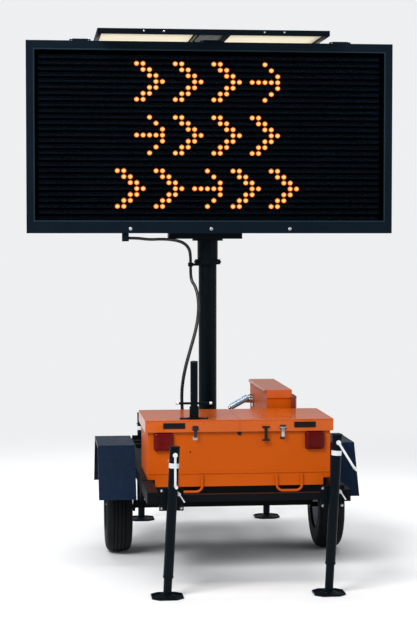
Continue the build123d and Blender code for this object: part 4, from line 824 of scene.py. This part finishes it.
def lamp_field(name, chosen, outline, material, steps):
    """All chosen lamps as one mesh: a ring pattern of (depth, radius) pairs repeated at each
    place, with each point's share of the lens radius kept as an attribute."""
    outline = np.array(outline)
    rows, columns = np.nonzero(chosen)
    centre_x = (columns - (COLUMNS - 1) / 2) * COLUMN_PITCH
    centre_z = first_row + (ROWS - 1 - rows) * ROW_PITCH - 0.0005
    angle = np.arange(steps) * 2 * np.pi / steps
    depth, radius = outline[:, 0], outline[:, 1]
    ring_x = radius[:, None] * np.cos(angle)
    ring_z = radius[:, None] * np.sin(angle)
    points = np.stack([centre_x[:, None, None] + ring_x, np.broadcast_to(
        (slat_front + 0.003 - depth)[None, :, None], (len(rows), len(depth), steps)),
        centre_z[:, None, None] + ring_z], axis=-1)
    one = grid_faces(len(outline), steps, wrap=True)
    size = len(outline) * steps
    faces = (one[None] + (np.arange(len(rows)) * size)[:, None, None]).reshape(-1, 4)
    lamps = piece(name, [(points.reshape(-1, 3), faces.tolist())], "sign_head", material)
    share = np.tile(np.repeat(radius / radius.max(), steps), len(rows))
    lamps.data.attributes.new("reach", "FLOAT", "POINT").data.foreach_set("value", share.astype(np.float32))
    return lamps


lamp_field("lamps_dark", ~lit, [(0, 0.0085), (0.004, 0.0082), (0.007, 0.0055), (0.008, 0.0003)], unlit_lens,
           8)
lamp_field("lamps_lit", lit,
           [(0, 0.0195), (0.002, 0.0190), (0.006, 0.0155), (0.0085, 0.0090), (0.0095, 0.0003)],
           lit_lens, 16)

# Door window: clear hard-coated sheet, so faint that only its reflections show.
clear_sheet = bpy.data.materials.new("clear_sheet")
clear_sheet.use_nodes = True
shader = clear_sheet.node_tree.nodes["Principled BSDF"]
shader.inputs["Base Color"].default_value = (0.002, 0.003, 0.004, 1)
shader.inputs["Roughness"].default_value = 0.06
shader.inputs["Alpha"].default_value = 0.012
shader.inputs["Specular IOR Level"].default_value = 0.1
scuffs = clear_sheet.node_tree.nodes.new("ShaderNodeTexNoise")
scuffs.inputs["Scale"].default_value = 60
haze = clear_sheet.node_tree.nodes.new("ShaderNodeMapRange")
haze.inputs["To Min"].default_value = 0.04
haze.inputs["To Max"].default_value = 0.16
clear_sheet.node_tree.links.new(scuffs.outputs["Fac"], haze.inputs["Value"])
clear_sheet.node_tree.links.new(haze.outputs["Result"], shader.inputs["Roughness"])
place = clear_sheet.node_tree.nodes.new("ShaderNodeTexCoord")
clear_sheet.node_tree.links.new(place.outputs["Object"], scuffs.inputs["Vector"])
paint(clear_sheet, "door_window")

# Solar panel: black anodised frame, dark cells under glass, and below them a cream back sheet with its
# junction box. The back sheet glows faintly: a painted glow for the light that falls on it from the ground.
# Bolts show on the rear edge.
frame_black = finish("frame_black", (0.0014, 0.0038, 0.0070), 0.36, grain=900, bump=0.01, gloss=0.06)
paint(frame_black, "solar_frame", "solar_mount")
cells = bpy.data.materials.new("solar_cells")
cells.use_nodes = True
tree = cells.node_tree
make, link = tree.nodes.new, tree.links.new
shader = tree.nodes["Principled BSDF"]
where = make("ShaderNodeTexCoord")
bricks = make("ShaderNodeTexBrick")
bricks.offset = 0.0
bricks.inputs["Scale"].default_value = 1.0
bricks.inputs["Brick Width"].default_value = 0.158
bricks.inputs["Row Height"].default_value = 0.158
bricks.inputs["Mortar Size"].default_value = 0.002
bricks.inputs["Color1"].default_value = (0.004, 0.008, 0.030, 1)
bricks.inputs["Color2"].default_value = (0.006, 0.011, 0.040, 1)
bricks.inputs["Mortar"].default_value = (0.45, 0.45, 0.46, 1)
link(where.outputs["Object"], bricks.inputs["Vector"])
link(bricks.outputs["Color"], shader.inputs["Base Color"])
shader.inputs["Roughness"].default_value = 0.12
shader.inputs["Coat Weight"].default_value = 1.0
paint(cells, "solar_laminate")
low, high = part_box("solar_laminate")
cream = finish("back_sheet_cream_painted_glow", (0.90, 0.80, 0.58), 0.5, grain=300, bump=0.01, mottle=0.06)
# Painted glow: the back sheet gives off a warm light in place of the light bounced up from the ground.
cream.node_tree.nodes["Principled BSDF"].inputs["Emission Color"].default_value = (1.0, 0.88, 0.62, 1)
cream.node_tree.nodes["Principled BSDF"].inputs["Emission Strength"].default_value = 0.42
inset = 0.001
sheet_z = low[2] - 0.0012
width, depth = high[0] - low[0] - 2 * inset, high[1] - low[1] - 2 * inset
centre = ((low[0] + high[0]) / 2, (low[1] + high[1]) / 2)
back_sheet = carried(rounded(width, depth, 0.004, 3),
                     [(centre[0], centre[1], sheet_z - 0.0006), (centre[0], centre[1], sheet_z + 0.0004)],
                     up=(0, 1, 0))
piece("back_sheet", [back_sheet], "solar_panel", cream)
saddle = carried(rounded(0.290, depth - 0.01, 0.004, 3),
                 [(0.012, centre[1], sheet_z - 0.0030), (0.012, centre[1], sheet_z - 0.0012)], up=(0, 1, 0))
piece("panel_saddle", [saddle], "solar_panel", frame_black)
frame_low, frame_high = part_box("solar_frame")
panel_under = frame_high[2] - 0.035
panel_bolts = [bolt((x, frame_low[1], panel_under + 0.018), (0, -1, 0), 0.006, 0.004)
               for x in (-0.53, -0.38, 0.38, 0.53)]
piece("panel_bolts", panel_bolts, "solar_panel", bright_zinc)
junction = carried(rounded(0.12, 0.10, 0.012), [(-0.35, high[1] - 0.16, sheet_z - 0.022),
                                                (-0.35, high[1] - 0.16, sheet_z)], up=(0, 1, 0))
piece("panel_junction", [junction], "solar_panel", vent_black)

# Conduit: black corrugated nylon, 25 mm across, from the battery box gland up to the clamp
# on the sleeve's collar, and on to the entry box under the sign. Its rings are 4 mm apart.
conduit_nylon = finish("conduit_nylon", (0.0050, 0.0055, 0.0065), 0.36, grain=400, bump=0.03, gloss=0.5)
LOWER_ROUTE = [(-0.292, -0.846, 0.872), (-0.292, -0.750, 0.872), (-0.299, -0.670, 0.955),
               (-0.306, -0.638, 1.060), (-0.302, -0.590, 1.180), (-0.272, -0.510, 1.310),
               (-0.222, -0.390, 1.440), (-0.165, -0.250, 1.580), (-0.128, -0.090, 1.710),
               (-0.116, 0.090, 1.820), (-0.122, 0.270, 1.890), (-0.133, 0.385, 1.915),
               (-0.140, 0.440, 1.965), (-0.140, 0.440, 2.035)]
UPPER_ROUTE = [(-0.140, 0.440, 2.065), (-0.140, 0.440, 2.125), (-0.157, 0.395, 2.180), (-0.205, 0.330, 2.222),
               (-0.280, 0.288, 2.242), (-0.375, 0.280, 2.249), (-0.475, 0.286, 2.244), (-0.560, 0.286, 2.256),
               (-0.632, 0.286, 2.256)]


def smooth_line(name, route):
    """Points read along the route's own NURBS spline, close together."""
    curve = bpy.data.curves.new(name, "CURVE")
    curve.dimensions = "3D"
    spline = curve.splines.new("NURBS")
    spline.points.add(len(route) - 1)
    for point, place in zip(spline.points, route):
        point.co = (*place, 1.0)
    spline.order_u = 3
    spline.use_endpoint_u = True
    spline.resolution_u = 24
    holder = bpy.data.objects.new(name, curve)
    line = bpy.data.meshes.new_from_object(holder)
    points = np.array([v.co[:] for v in line.vertices])
    bpy.data.objects.remove(holder)
    bpy.data.meshes.remove(line)
    return points


def corrugated(line, radius, ring, depth, steps=14):
    """A tube along the line whose radius dips by depth between rings: radius less depth times a rounded
    square wave of the distance along. Each ring is set square to the path against one fixed direction."""
    run = np.concatenate([[0], np.cumsum(np.linalg.norm(np.diff(line, axis=0), axis=1))])
    count = int(run[-1] / ring * 4)
    at = np.linspace(0, run[-1], count)
    path = np.stack([np.interp(at, run, line[:, k]) for k in range(3)], axis=1)
    way = np.gradient(path, axis=0)
    way /= np.linalg.norm(way, axis=1)[:, None]
    side = np.cross(way, (1.0, 0.15, 0.1))
    side /= np.linalg.norm(side, axis=1)[:, None]
    other = np.cross(way, side)
    wave = np.clip(1.6 * np.cos(at / ring * 2 * np.pi), -1, 1)
    size = radius - depth * (0.5 - 0.5 * wave)
    angle = np.arange(steps) * 2 * np.pi / steps
    rings = path[:, None] + size[:, None, None] * (np.cos(angle)[None, :, None] * side[:, None]
                                                   + np.sin(angle)[None, :, None] * other[:, None])
    faces = grid_faces(count, steps, wrap=True)[:, ::-1].tolist()
    faces.append(list(range(steps)))
    faces.append(list(range(count * steps - 1, (count - 1) * steps - 1, -1)))
    return (rings.reshape(-1, 3), faces), path, float(run[-1])


for name, route, ends, node in (
        ("lower_conduit", LOWER_ROUTE, ("root", "lift_sleeve"), "conduit_lower"),
        ("upper_conduit", UPPER_ROUTE, ("lift_sleeve", "sign_head"), "conduit_upper")):
    shape, path, length = corrugated(smooth_line(name, route), 0.0125, 0.0055, 0.0022)
    hose = piece(name, [shape], None, conduit_nylon, smooth=60, replaced=(node,))
    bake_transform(hose)
